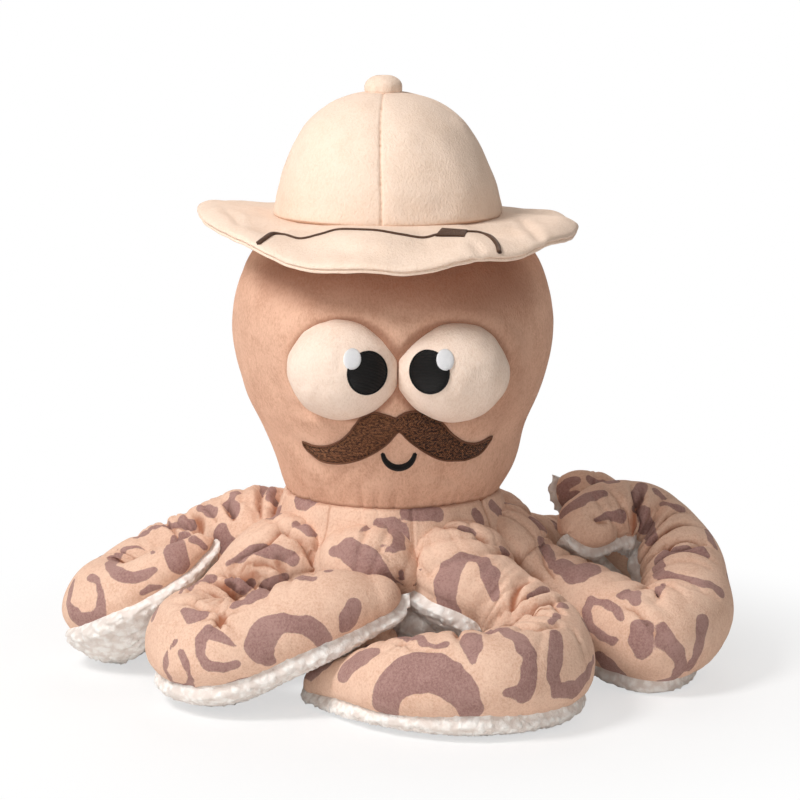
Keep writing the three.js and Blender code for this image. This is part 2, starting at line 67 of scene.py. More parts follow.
# %% Find the axis of the toy
head_low, head_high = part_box("head_skin")
toy_axis = np.array([(head_low.x + head_high.x) / 2, (head_low.y + head_high.y) / 2, 0])
print("the toy's axis is at", toy_axis.round(4))


def placed(x, y, z):
    """Points measured from the toy's axis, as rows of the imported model's frame."""
    x, y, z = np.broadcast_arrays(x, y, z)
    return np.stack([x, y, z], axis=-1).astype(float) + toy_axis


# %% [markdown]
# The camera stands where the photographer's stood: a long lens, a little above the toy. It is made
# first, because some pieces, such as the printed spots, are placed by where the picture shows them.

# %% Camera
picture_size = 800
camera_elevation = math.radians(10)
camera_distance = 1.3
camera_aim_shift = 0.0036
camera_aim_height = 0.12
view_width_angle = math.radians(15.63)
sensor_width = 36

camera_aim = placed(camera_aim_shift, 0, camera_aim_height)
look_along = np.array([0, math.cos(camera_elevation), -math.sin(camera_elevation)])
look_up = np.array([0, math.sin(camera_elevation), math.cos(camera_elevation)])
look_right = np.array([1, 0, 0])
camera_place = camera_aim - camera_distance * look_along

camera_data = bpy.data.cameras.new("camera")
camera_data.sensor_width = sensor_width
camera_data.lens = sensor_width / 2 / math.tan(view_width_angle / 2)
camera = bpy.data.objects.new("camera", camera_data)
camera.location = camera_place
camera.rotation_euler = (math.pi / 2 - camera_elevation, 0, 0)
bpy.context.scene.collection.objects.link(camera)
bpy.context.scene.camera = camera
print("lens:", round(camera_data.lens, 1))


def picture_ray(column, row):
    """The direction from the camera through a point of the picture."""
    half_view = math.tan(view_width_angle / 2)
    half_picture = picture_size / 2
    right = (column - half_picture) / half_picture * half_view
    up = (half_picture - row) / half_picture * half_view
    return Vector(look_along + right * look_right + up * look_up).normalized()


def seen_point(surface, column, row):
    """Where a point of the picture falls on a surface: its place and the way the surface faces."""
    place, normal, _, _ = surface.ray_cast(Vector(camera_place), picture_ray(column, row))
    return place, normal


# %% [markdown]
# Soft light comes from a round panel high in front on the left, as in the photograph. A weaker one
# stands low in front, another one behind, and the white room fills the shadows. The floor is pale
# and fades into that white. Each row gives a lamp's place, its size and its watts.

# %% Lights
lamp_rows = {
    "key_light": ((-0.8, -0.62, 1.22), 0.5, 17.6),
    "fill_light": ((-0.25, -1.25, 0.12), 0.9, 4.5),
    "back_light": ((0.1, 0.9, 0.9), 0.7, 2.5),
}
lamp_aim_height = 0.1


def panel_light(name, place, aim, size, watts):
    light = bpy.data.lights.new(name, "AREA")
    light.shape = "DISK"
    light.size = size
    light.energy = watts
    lamp = bpy.data.objects.new(name, light)
    lamp.location = place
    lamp.rotation_euler = Vector(aim - place).to_track_quat("-Z", "Y").to_euler()
    bpy.context.scene.collection.objects.link(lamp)


for name, (place, size, watts) in lamp_rows.items():
    panel_light(name, placed(*place), placed(0, 0, lamp_aim_height), size, watts)
print("lamps:", len(lamp_rows))

# %% [markdown]
# The room and the finishes are trees of nodes. Helpers keep their code short: one gives an empty
# tree, one adds a node with its settings and its inputs, and one tells where the camera, a mirror
# or glass looks straight at a surface, which is where the floor and the room are plain white.

# %% Helpers for node trees
def new_tree(data):
    data.use_nodes = True
    data.node_tree.nodes.clear()
    return data.node_tree


def add_node(tree, kind, inputs=(), **settings):
    """A node with its settings, and its inputs by name or number, each a value or another socket."""
    node = tree.nodes.new("ShaderNode" + kind)
    for key, value in settings.items():
        setattr(node, key, value)
    for key, value in dict(inputs).items():
        if isinstance(value, bpy.types.NodeSocket):
            tree.links.new(value, node.inputs[key])
        else:
            node.inputs[key].default_value = value
    return node


def seen_directly(tree):
    """One where the camera, a mirror or glass looks straight at the surface."""
    path = add_node(tree, "LightPath")
    first = add_node(tree, "Math", {0: path.outputs["Is Camera Ray"], 1: path.outputs["Is Glossy Ray"]},
                     operation="MAXIMUM")
    both = add_node(tree, "Math", {0: first.outputs[0], 1: path.outputs["Is Transmission Ray"]},
                    operation="MAXIMUM")
    return both.outputs[0]


# %% White room
room_level = 0.31
room_colour = (1, 0.965, 0.93, 1)
plain_white = (1, 1, 1, 1)
world = bpy.data.worlds.new("white_room")
bpy.context.scene.world = world
tree = new_tree(world)
room = add_node(tree, "Background", {"Color": room_colour, "Strength": room_level})
white = add_node(tree, "Background", {"Color": plain_white, "Strength": 1})
either = add_node(tree, "MixShader", {0: seen_directly(tree), 1: room.outputs[0], 2: white.outputs[0]})
add_node(tree, "OutputWorld", {"Surface": either.outputs[0]})

# %% Floor
floor_half_size = 1.6
floor_drop = 0.0004
floor_fade = (0.13, 0.27)
floor_glow = 0.62
paper_colour = (0.93, 0.92, 0.91, 1)
bm = bmesh.new()
bmesh.ops.create_grid(bm, x_segments=1, y_segments=1, size=floor_half_size)
bmesh.ops.translate(bm, verts=bm.verts, vec=(0, 0, -floor_drop))
floor_mesh = bpy.data.meshes.new("floor")
bm.to_mesh(floor_mesh)
bm.free()
floor = bpy.data.objects.new("floor", floor_mesh)
bpy.context.scene.collection.objects.link(floor)

paper = bpy.data.materials.new("floor_paper")
tree = new_tree(paper)
where = add_node(tree, "TexCoord")
outwards = add_node(tree, "VectorMath", {0: where.outputs["Object"]}, operation="LENGTH")
fade = add_node(tree, "MapRange", {"Value": outwards.outputs["Value"], "From Min": floor_fade[0],
                                   "From Max": floor_fade[1], "To Min": floor_glow},
                interpolation_type="SMOOTHSTEP")
faded = add_node(tree, "Math", {0: fade.outputs[0], 1: seen_directly(tree)}, operation="MULTIPLY")
matt = add_node(tree, "BsdfDiffuse", {"Color": paper_colour})
bright = add_node(tree, "Emission", {"Color": plain_white, "Strength": 1})
either = add_node(tree, "MixShader", {0: faded.outputs[0], 1: matt.outputs[0], 2: bright.outputs[0]})
add_node(tree, "OutputMaterial", {"Surface": either.outputs[0]})
floor_mesh.materials.append(paper)
bpy.context.scene.view_settings.view_transform = "Standard"

# %% [markdown]
# ## Finishes
# The head is short brushed plush. A pile isn't a flat colour: its tips catch the light, its roots
# stay dark, and the nap lies in soft streaks. Two noises give that, one at the size of a tuft and
# one at the size of a hand's stroke, and they raise the surface a little as well as shade it.
# Sheen is the pale bloom that fibres show at a glancing angle.

# %% Plush finish
def screen_colour(red, green, blue):
    """A colour given from 0 to 255 as a screen shows it, as the light that a shader works with."""
    shares = [value / 255 for value in (red, green, blue)]
    return (*(s / 12.92 if s <= 0.04045 else ((s + 0.055) / 1.055) ** 2.4 for s in shares), 1)


def new_finish(name):
    """A new material, its empty node tree, and its Object coordinates."""
    finish = bpy.data.materials.new(name)
    tree = new_tree(finish)
    return finish, tree, add_node(tree, "TexCoord").outputs["Object"]


def speckle(tree, coordinates, size, detail=2.0, stretch=(1, 1, 1), warp=0.0):
    """A soft noise whose patches are about that size, longer where the stretch is below one."""
    moved = add_node(tree, "Mapping", {"Vector": coordinates, "Scale": stretch})
    return add_node(tree, "TexNoise", {"Vector": moved.outputs[0], "Scale": 1 / size, "Detail": detail,
                                       "Roughness": 0.6, "Distortion": warp}).outputs["Fac"]


def blended(tree, share, first, second):
    """A colour between the first, where the share is zero, and the second, where it is one."""
    mix = add_node(tree, "Mix", {"Factor": share}, data_type="RGBA")
    for socket, value in ((mix.inputs[6], first), (mix.inputs[7], second)):
        if isinstance(value, bpy.types.NodeSocket):
            tree.links.new(value, socket)
        else:
            socket.default_value = value
    return mix.outputs[2]


def stepped(tree, value, low, high):
    """Zero below low and one above high, with a smooth rise between."""
    return add_node(tree, "MapRange", {"Value": value, "From Min": low, "From Max": high},
                    interpolation_type="SMOOTHSTEP").outputs[0]


def summed(tree, *shared):
    """The sum of some values, each with the share it takes part with."""
    total = None
    for value, share in shared:
        part = add_node(tree, "Math", {0: value, 1: share}, operation="MULTIPLY").outputs[0]
        total = part if total is None else add_node(tree, "Math", {0: total, 1: part}).outputs[0]
    return total


sheen_roughness = 0.45
fibre_gloss = 0.2


def surface(tree, colour, height, depth, roughness, sheen=0.0, sheen_colour=plain_white):
    """The shader that ends a finish. The height raises the surface by up to the depth."""
    shader = add_node(tree, "BsdfPrincipled", {
        "Base Color": colour, "Roughness": roughness, "Sheen Weight": sheen,
        "Sheen Roughness": sheen_roughness, "Sheen Tint": sheen_colour, "Specular IOR Level": fibre_gloss})
    raised = add_node(tree, "Bump", {"Height": height, "Distance": depth, "Strength": 1})
    tree.links.new(raised.outputs[0], shader.inputs["Normal"])
    add_node(tree, "OutputMaterial", {"Surface": shader.outputs[0]})


tuft = 0.0011
fibre = 0.0005
stroke_of_nap = 0.014
short_pile = 0.0005
longer_pile = 0.0006
pile_roughness = 0.95
# Painted shade: finishes darken a colour towards its shade colour where this attribute is high, in folds,
# seams and creases, under the hat and about the eyes.
painted_shade_name = "painted_shade"


def with_painted_shade(tree, colour, deep):
    """Paints shade into a colour where the painted-shade attribute is high, turning it warmer and darker,
    as light that gets into a fold bounces from cloth to cloth.
    """
    fold = add_node(tree, "Attribute", attribute_name=painted_shade_name).outputs["Fac"]
    return blended(tree, stepped(tree, fold, 0.2, 1.15), colour, deep)


def store_painted_shade(bm, amount):
    """Stores at each corner how much painted shade its colour takes, from 0 to 1."""
    layer = bm.verts.layers.float.new(painted_shade_name)
    for vertex, value in zip(bm.verts, amount):
        vertex[layer] = value


def plush_finish(name, light, dark, deep, pile_depth=short_pile, nap_share=0.35, sheen=0.25):
    finish, tree, at = new_finish(name)
    fibres = speckle(tree, at, fibre, stretch=(1, 1, 0.45))
    tufts = speckle(tree, at, tuft, detail=3, stretch=(1, 1, 0.6))
    nap = speckle(tree, at, stroke_of_nap, detail=3, warp=0.6)
    shade = summed(tree, (fibres, 0.3), (tufts, 0.7 - nap_share), (nap, nap_share))
    # Painted shade: the colour turns towards the third colour where the painted-shade attribute is high.
    colour = with_painted_shade(tree, blended(tree, stepped(tree, shade, 0.33, 0.6), dark, light), deep)
    height = summed(tree, (fibres, 0.4), (tufts, 0.6))
    surface(tree, colour, height, pile_depth, pile_roughness, sheen, light)
    return finish


# The third colour of each plush is its painted shade, for folds, seams and shadows.
tan_plush = plush_finish("tan_plush", screen_colour(222, 179, 154), screen_colour(196, 151, 126),
                         screen_colour(132, 80, 56))
eye_plush = plush_finish("eye_plush", screen_colour(239, 218, 202), screen_colour(228, 203, 184),
                         screen_colour(196, 152, 124), pile_depth=longer_pile, nap_share=0.3)
hat_plush = plush_finish("hat_plush", screen_colour(243, 219, 200), screen_colour(233, 206, 184),
                         screen_colour(196, 148, 116), pile_depth=longer_pile, nap_share=0.3, sheen=0.2)

# %% [markdown]
# The arms are the same plush with a print of dark broken rings. The print is dyed in, so it has no
# thickness: each point of the cover knows how far it is inside a ring, in millimetres, and the
# finish changes colour where that number passes zero. A little fibre noise frays the edge.

# %% Printed plush finish
print_name = "print_depth"
fray = 0.9


def printed_finish(name):
    finish, tree, at = new_finish(name)
    fibres = speckle(tree, at, fibre, stretch=(1, 1, 0.6))
    tufts = speckle(tree, at, tuft, detail=3)
    nap = speckle(tree, at, stroke_of_nap, detail=3, warp=0.6)
    shade = stepped(tree, summed(tree, (fibres, 0.3), (tufts, 0.4), (nap, 0.3)), 0.35, 0.6)
    ground = blended(tree, shade, screen_colour(213, 171, 147), screen_colour(232, 197, 174))
    dye = blended(tree, shade, screen_colour(144, 108, 102), screen_colour(172, 137, 129))
    depth = add_node(tree, "Attribute", attribute_name=print_name).outputs["Fac"]
    frayed = summed(tree, (depth, 1), (fibres, fray))
    # Painted shade: ground and print turn warmer and darker where the painted-shade attribute is high.
    ground = with_painted_shade(tree, ground, screen_colour(158, 98, 70))
    dye = with_painted_shade(tree, dye, screen_colour(92, 60, 52))
    colour = blended(tree, stepped(tree, frayed, fray / 2 - 0.25, fray / 2 + 0.25), ground, dye)
    height = summed(tree, (fibres, 0.4), (tufts, 0.6))
    surface(tree, colour, height, short_pile, pile_roughness, 0.22, screen_colour(238, 208, 188))
    return finish


printed_plush = printed_finish("printed_plush")

# %% [markdown]
# The undersides are white sherpa, a curly pile. Its curls are real bumps of a few millimetres, so
# the mesh carries the large ones, and rounded cells in the finish carry the small ones, with a
# little grey in the gaps between them where light doesn't reach.

# %% Sherpa finish
curl_size = 0.0034
curl_depth = 0.0011


def sherpa_finish(name):
    finish, tree, at = new_finish(name)
    twist = add_node(tree, "TexNoise", {"Vector": at, "Scale": 1 / curl_size, "Detail": 2})
    bent = add_node(tree, "VectorMath", {0: twist.outputs["Color"], 1: (curl_size, curl_size, curl_size)},
                    operation="MULTIPLY")
    warped = add_node(tree, "VectorMath", {0: at, 1: bent.outputs[0]})
    curls = add_node(tree, "TexVoronoi", {"Vector": warped.outputs[0], "Scale": 1 / curl_size,
                                          "Smoothness": 0.6}, feature="SMOOTH_F1").outputs["Distance"]
    fibres = speckle(tree, at, fibre)
    gap = stepped(tree, summed(tree, (curls, 1), (fibres, 0.25)), 0.35, 0.85)
    colour = blended(tree, gap, screen_colour(248, 244, 239), screen_colour(226, 215, 207))
    height = summed(tree, (curls, -1), (fibres, 0.25))
    surface(tree, colour, height, curl_depth, 1, 0.3)
    return finish


white_sherpa = sherpa_finish("sherpa")

# %% [markdown]
# Embroidery is thread laid side by side. Each stitch is a thin shiny ridge, so the finish makes ridges
# across the piece's own U direction and breaks them now and then where a stitch ends. The moustache is
# filled with short stitches that run to and fro, flecked light and dark, and its left half is painted a
# little lighter than its right, a painted sheen of threads that catch the light, so its finish has rows, a
# grain and a change of that painted sheen from half to half.

# %% Thread finishes
one_ridge = 0.314
# Where the moustache's painted sheen changes from its lighter left half to its darker right half.
sheen_change_edges = (-0.004, 0.012)


def thread_finish(name, light, dark, pitch, roughness=0.55, across="X", slant=0.0, chevron=0.0):
    """Satin stitches. The pitch is the width of one thread, measured on the piece's own UV map. A
    chevron is the length of the stitches where they run to and fro in rows. A wave texture at a
    scale of one ridge has a period of one."""
    finish, tree, _ = new_finish(name)
    uv = add_node(tree, "UVMap", uv_map="thread").outputs[0]
    if chevron:
        apart = add_node(tree, "SeparateXYZ", {0: uv})
        fold = add_node(tree, "Math", {0: apart.outputs[1], 1: chevron}, operation="PINGPONG")
        shift = add_node(tree, "Math", {0: apart.outputs[0], 1: fold.outputs[0]}, operation="ADD")
        uv = add_node(tree, "CombineXYZ", {0: shift.outputs[0], 1: apart.outputs[1]}).outputs[0]
    turned = add_node(tree, "Mapping", {"Vector": uv, "Rotation": (0, 0, slant)}).outputs[0]
    wobble = add_node(tree, "TexNoise", {"Vector": turned, "Scale": 0.25 / pitch, "Detail": 2})
    ridges = add_node(tree, "TexWave", {"Vector": turned, "Scale": one_ridge / pitch, "Distortion": 1.2,
                                        "Detail": 1, "Detail Scale": 2}, bands_direction=across)
    ridge = ridges.outputs["Fac"]
    shade = summed(tree, (ridge, 0.65), (wobble.outputs["Fac"], 0.45))
    if chevron:
        grain = speckle(tree, uv, chevron / 2, detail=3)
        # Painted sheen: the right half of the moustache is painted darker than the left.
        painted_lobe_sheen = stepped(tree, apart.outputs[0], *sheen_change_edges)
        shade = summed(tree, (ridge, 0.4), (stepped(tree, grain, 0.38, 0.62), 0.58), (painted_lobe_sheen, -0.14))
    colour = blended(tree, stepped(tree, shade, 0.2, 0.85), dark, light)
    surface(tree, colour, ridge, pitch * 0.6, roughness, 0.03)
    return finish


thread_width = 0.0004
satin_width = 0.0006
filling_width = 0.0008
filling_stitch = 0.0017
black_thread = thread_finish("black_thread", screen_colour(16, 14, 13), screen_colour(1, 1, 1),
                             satin_width, across="Y", slant=math.radians(-4))
white_thread = thread_finish("white_thread", screen_colour(255, 255, 255), screen_colour(236, 236, 240),
                             thread_width)
brown_thread = thread_finish("brown_thread", screen_colour(172, 116, 80), screen_colour(40, 16, 6),
                             filling_width, slant=math.radians(12), chevron=filling_stitch)
cord_thread = thread_finish("cord_thread", screen_colour(150, 104, 78), screen_colour(92, 54, 37),
                            thread_width, slant=math.radians(50))
strap_thread = thread_finish("strap_thread", screen_colour(124, 92, 72), screen_colour(52, 30, 20),
                             thread_width, slant=math.radians(50))
print("finishes:", len(bpy.data.materials))

# %% [markdown]
# ## Tools for soft shapes
# A stuffed tube starts as a flat grid of cloth. Every corner moves to its place, found from how far
# along and how far round the tube it is, so the grid rolls up until its two long edges meet. The
# rings at the ends shrink to a point. Merging the corners that meet closes the tube.

# %% Tubes and finished pieces
merge_distance = 0.00002
tiny = 1e-12


def places_in(bm):
    """The place of each corner, one row for each."""
    return np.array([vertex.co for vertex in bm.verts])


def straight_tube(corners, stations):
    """A flat grid to roll up. Gives the bmesh, and each corner's ring and its number on the ring."""
    bm = bmesh.new()
    bmesh.ops.create_grid(bm, x_segments=corners, y_segments=stations - 1, size=1)
    share = (places_in(bm)[:, :2] + 1) / 2
    ring = np.rint(share[:, 1] * (stations - 1)).astype(int)
    return bm, ring, np.rint(share[:, 0] * corners).astype(int) % corners


def move_to(bm, points):
    for vertex, point in zip(bm.verts, points):
        vertex.co = point


def finished(name, bm, finish):
    """Closes a shape, turns its faces outwards and makes it an object with its place in its mesh."""
    bmesh.ops.remove_doubles(bm, verts=bm.verts, dist=merge_distance)
    bmesh.ops.recalc_face_normals(bm, faces=bm.faces)
    for face in bm.faces:
        face.smooth = True
    mesh = bpy.data.meshes.new(name)
    bm.to_mesh(mesh)
    bm.free()
    mesh.materials.append(finish)
    piece = bpy.data.objects.new(name, mesh)
    bpy.context.scene.collection.objects.link(piece)
    print(f"{name}: {len(mesh.polygons)} faces")
    return piece


# %% [markdown]
# Nothing stuffed is quite even, so ripples of noise swell every surface. Whatever starts or ends
# softly, such as a gather, uses a smooth step, and what lies about one place uses a bell curve.

# %% Ripples, steps and bells
noise_gain = 1.6
seed_shift_steps = (7.31, 3.17, 5.53)


def ripple(points, size, seed):
    """A smooth random height, about -1 to 1, at each point, with bumps of about that size."""
    shift = Vector([seed * step for step in seed_shift_steps])
    return np.array([noise.noise(Vector(point) / size + shift) for point in points]) * noise_gain


def swelled(points, swells):
    """The sum of some ripples, each given by its depth, its size and its seed."""
    return sum(depth * ripple(points, size, seed) for depth, size, seed in swells)


def smoothed(values, low, high):
    """Zero below low and one above high, with a smooth rise between."""
    share = np.clip((values - low) / (high - low), 0, 1)
    return share * share * (3 - 2 * share)


def fading(values, low, high):
    """One below low and zero above high."""
    return smoothed(-values, -high, -low)


def bell(values, width):
    """One at zero, and hardly anything two widths away from it."""
    return np.exp(-(values / width) ** 2)


def stored(piece, what):
    """The place, co, or the way it faces, normal, of each corner of a finished piece."""
    numbers = np.empty(len(piece.data.vertices) * 3)
    piece.data.vertices.foreach_get(what, numbers)
    return numbers.reshape(-1, 3)


def skin_of(piece):
    """The piece's surface, for finding points on it."""
    return BVHTree.FromPolygons([v.co for v in piece.data.vertices],
                                [p.vertices for p in piece.data.polygons])


# %% [markdown]
# A gather is a thread that holds the cloth down along a line, and a pinch is one that holds it at a
# point, with wrinkles that run away from it like rays. Those that the photograph shows are given by
# points of the picture. They are laid on a skin from the camera and then pulled into it, both walls
# of the cloth together, so it keeps its thickness.

# %% Gathers and pinches
through_cloth = 0.006
pull_depth = 0.004
pull_width = 0.002
full_shade_pull = 0.0028
bulge_share = 0.22
bulge_place = 2.4
pinch_rays = 7
ray_share = 0.4
ray_reach = 5
ray_spin = 900


def laid_path(skin, path):
    """The points of a picture path, and one between each two, laid on a skin. Gives their places,
    the way the skin faces there, and what the path's points carry beside a column and a row."""
    places, facing, carried = [], [], []
    for first, second in zip(path, path[1:] + path[-1:]):
        for share in (0, 0.5):
            column, row, *rest = (a + (b - a) * share for a, b in zip(first, second))
            place, normal = seen_point(skin, column, row)
            if place is not None:
                places.append(place)
                facing.append(normal if normal.dot(picture_ray(column, row)) < 0 else -normal)
                carried.append(rest)
    return np.array(places), np.array(facing), np.array(carried)


def held_down(bm, points, pulls, shade):
    """Moves the points that a pull reaches, and lets the painted shade grow there. A pull is a picture
    path, and shares of the depth and the width that pulls have."""
    skin = BVHTree.FromBMesh(bm)
    moved = np.zeros_like(points)
    for path, depth_share, width_share in pulls:
        depth, width = depth_share * pull_depth, width_share * pull_width
        places, facing, _ = laid_path(skin, path)
        if len(places) == 0:
            continue
        gap, where = np.full(len(points), 1.0), np.zeros(len(points))
        outwards = np.tile(facing[0], (len(points), 1))
        for step in range(len(places) - 1):
            up = facing[step]
            run = places[step + 1] - places[step]
            offset = points - places[step]
            lift, climb = offset @ up, run @ up
            flat, flat_run = offset - lift[:, None] * up, run - climb * up
            share = np.clip(flat @ flat_run / max(flat_run @ flat_run, tiny), 0, 1)
            away = np.linalg.norm(flat - share[:, None] * flat_run, axis=1)
            closer = (away < gap) & (np.abs(lift - share * climb) < through_cloth)
            gap[closer], where[closer] = away[closer], (step + share[closer]) / (len(places) - 1)
            outwards[closer] = up
        drop = depth * np.clip(1 - gap / (2 * width), 0, 1) ** 1.7
        bulge = bulge_share * depth * bell(gap - bulge_place * width, width)
        if len(path) > 1:
            fade = np.sin(math.pi * np.clip(0.1 + 0.8 * where, 0, 1)) ** 0.6
        else:
            sideways = Vector(facing[0]).orthogonal().normalized()
            upwards = np.cross(facing[0], sideways)
            offset = points - places[0]
            turn = np.arctan2(offset @ upwards, offset @ np.array(sideways))
            rays = (1 - np.abs(np.sin(pinch_rays / 2 * turn + depth * ray_spin))) ** 1.5
            spread = bell(gap, ray_reach * width) * (1 - bell(gap, width))
            drop, bulge, fade = drop + ray_share * depth * rays * spread, 0, 1
        moved -= outwards * ((drop - bulge) * fade * (gap < 1))[:, None]
        # Painted shade: the colour darkens where the pull sinks the cloth.
        shade = np.maximum(shade, np.clip(drop * fade / full_shade_pull, 0, 1))
    return points + moved, shade


# %% [markdown]
# ## Arms
# An arm is a tube of printed plush on top and sherpa below, stuffed, with an elastic sewn into the
# seam on one side. The elastic curls the arm and gathers its cloth into folds across that side.
# So an arm needs a middle line, a width and a height along it, and folds that grow where it turns.
# The line goes smoothly through a few given points. Each row gives x and y as shares of the arm span, the
# height of the middle as a share of the root's height, and half the width and height.

# %% Arm table
root_height = 0.05
arm_span = 0.15
arm_half_size = 0.022
resting_flat = 0.0005
arm_rows = {
    "arm_front": (-11.5, 1, [
        (-0.083, -0.39, 0.82, 0.64, 0.66), (-0.067, -0.413, 0.56, 0.56, 0.58),
        (-0.02, -0.413, 0.33, 0.48, 0.5), (0.047, -0.38, 0.19, 0.34, 0.36),
        (0.093, -0.333, 0.13, 0.22, 0.24)]),
    "arm_front_right": (34.5, -1, [
        (0.228, -0.335, 0.92, 0.92, 0.84), (0.345, -0.4, 0.72, 0.86, 0.9),
        (0.44, -0.513, 0.5, 0.91, 0.98), (0.413, -0.66, 0.45, 0.93, 0.98),
        (0.247, -0.76, 0.45, 0.91, 0.98), (0.047, -0.713, 0.4, 0.8, 0.86),
        (-0.107, -0.587, 0.28, 0.55, 0.6), (-0.207, -0.473, 0.18, 0.3, 0.36)]),
    "arm_right": (80, 1, [
        (0.387, -0.08, 0.84, 0.77, 0.85), (0.593, -0.2, 0.58, 0.84, 0.98),
        (0.76, -0.313, 0.46, 0.91, 0.98), (0.855, -0.193, 0.54, 0.95, 1),
        (0.868, 0.02, 0.84, 0.91, 0.91), (0.775, 0.13, 1.18, 0.77, 0.77),
        (0.665, 0.09, 1.31, 0.68, 0.7), (0.58, 0.0, 1.26, 0.6, 0.62)]),
    "arm_back_right": (125, -1, [
        (0.32, 0.287, 0.9, 0.75, 0.85), (0.42, 0.467, 0.64, 0.84, 0.95),
        (0.533, 0.64, 0.48, 0.93, 1), (0.707, 0.64, 0.46, 0.93, 1),
        (0.8, 0.48, 0.56, 0.82, 0.93), (0.71, 0.373, 0.94, 0.66, 0.75),
        (0.63, 0.35, 1.26, 0.58, 0.6), (0.58, 0.343, 1.36, 0.5, 0.52)]),
    "arm_back": (170, 1, [
        (0.053, 0.38, 0.88, 0.73, 0.85), (0.04, 0.533, 0.6, 0.77, 0.95),
        (-0.02, 0.68, 0.46, 0.77, 0.95), (-0.127, 0.7, 0.44, 0.66, 0.86),
        (-0.173, 0.593, 0.5, 0.45, 0.64), (-0.147, 0.507, 0.6, 0.27, 0.34)]),
    "arm_back_left": (-146, 1, [
        (-0.247, 0.34, 0.9, 0.75, 0.85), (-0.373, 0.513, 0.62, 0.86, 0.95),
        (-0.493, 0.633, 0.47, 0.91, 1), (-0.64, 0.647, 0.45, 0.91, 1),
        (-0.747, 0.533, 0.46, 0.8, 0.95), (-0.7, 0.413, 0.64, 0.55, 0.68),
        (-0.6, 0.387, 0.84, 0.36, 0.45), (-0.547, 0.407, 0.92, 0.23, 0.27)]),
    "arm_left": (-101, 1, [
        (-0.44, 0.113, 1.02, 0.95, 1.07), (-0.64, 0.14, 0.78, 1, 1.03),
        (-0.793, 0.08, 0.56, 1.02, 1.05), (-0.84, -0.047, 0.52, 0.95, 1.05),
        (-0.76, -0.14, 0.68, 0.68, 0.8), (-0.65, -0.14, 0.92, 0.48, 0.57),
        (-0.573, -0.1, 1.08, 0.28, 0.34)]),
    "arm_front_left": (-56.5, 1, [
        (-0.367, -0.22, 0.93, 0.8, 0.87), (-0.507, -0.3, 0.62, 0.84, 0.84),
        (-0.573, -0.42, 0.52, 0.93, 1.0), (-0.487, -0.54, 0.52, 0.91, 1),
        (-0.327, -0.567, 0.7, 0.82, 0.88), (-0.167, -0.553, 0.88, 0.74, 0.8),
        (-0.045, -0.525, 0.95, 0.5, 0.54)]),
}
print("arms:", len(arm_rows))

# %% [markdown]
# An arm is rarely sewn quite straight: it turns about its own line, and shows more sherpa on one
# side. Each row gives a share of the arm's length and a turn in degrees. A positive turn lifts the
# seam on the inside of the curl.

# %% Turns of the arms about their own lines
arm_twists = {
    "arm_front": [(0, 0), (1, 0)],
    "arm_front_right": [(0, 30), (0.13, 38), (0.24, 18), (0.36, 0), (1, -5)],
    "arm_right": [(0, 0), (0.22, 16), (0.42, 18), (0.58, 32), (0.76, 28), (0.88, 4), (1, -8)],
    "arm_back_right": [(0, 0), (0.5, 0), (0.75, 30), (1, 45)],
    "arm_back": [(0, 0), (1, 0)],
    "arm_back_left": [(0, 0), (0.6, 0), (0.8, 15), (1, 0)],
    "arm_left": [(0, 0), (0.45, 0), (0.58, -6), (0.7, -24), (0.82, -34), (1, -34)],
    "arm_front_left": [(0, 0), (0.35, 0), (0.6, -4), (1, -6)],
}


twist_softness = 12


def degrees_along(rows, line):
    """Degrees at each station, from rows of a share of the arm's length and a turn in degrees."""
    shares, degrees = zip(*rows)
    return np.interp(line["travel"] / line["travel"][-1], shares, degrees)


def twist_of(arm, line, station):
    return np.radians(running_mean(degrees_along(arm_twists[arm], line), twist_softness))[station]


# %% [markdown]
# The cloth of an arm starts at the neck seam, above the root, so each line gets two rows of its own
# before the table's: one under the neck and one at the root. Where the line turns tightly, the
# inside of the arm is narrower, or its rings would cross.

# %% Middle line of an arm
neck_row_radius = 0.032
neck_row_height = 0.053
neck_row_half = (0.015, 0.0165)
root_row_radius = 0.0475
root_row_height = 0.0525
root_row_half = (0.0225, 0.0215)
shoulder_place = 0.03
shoulder_reach = 0.015
shoulder_swell = (0.26, 0.14)
station_gap = 0.00108
fine_steps = 60
tightest_share = 0.78
turn_window = 0.012


def spline(rows, shares, spacing):
    """A smooth curve through rows of numbers, at shares counted in rows. The spacing is the gap
    that the curve sees between two rows."""
    rows = np.vstack([2 * rows[0] - rows[1], rows, 2 * rows[-1] - rows[-2]])
    gaps = np.concatenate([[spacing[0]], spacing, [spacing[-1]]])
    first = np.clip(np.floor(shares).astype(int), 0, len(rows) - 4)
    t = (shares - first)[:, None]
    p0, p1, p2, p3 = (rows[first + i] for i in range(4))
    d0, d1, d2 = (gaps[first + i][:, None] for i in range(3))
    start = ((p1 - p0) / d0 - (p2 - p0) / (d0 + d1) + (p2 - p1) / d1) * d1
    end = ((p2 - p1) / d1 - (p3 - p1) / (d1 + d2) + (p3 - p2) / d2) * d1
    return (p1 + start * t + (-3 * p1 + 3 * p2 - 2 * start - end) * t ** 2
            + (2 * p1 - 2 * p2 + start + end) * t ** 3)


def travel_along(points):
    """How far along a line of points each of them is."""
    return np.concatenate([[0], np.cumsum(np.linalg.norm(np.diff(points, axis=0), axis=1))])


def running_mean(values, reach):
    kernel = np.hanning(2 * reach + 3)
    padded = np.concatenate([np.full(reach + 1, values[0]), values, np.full(reach + 1, values[-1])])
    return np.convolve(padded, kernel / kernel.sum(), mode="valid")


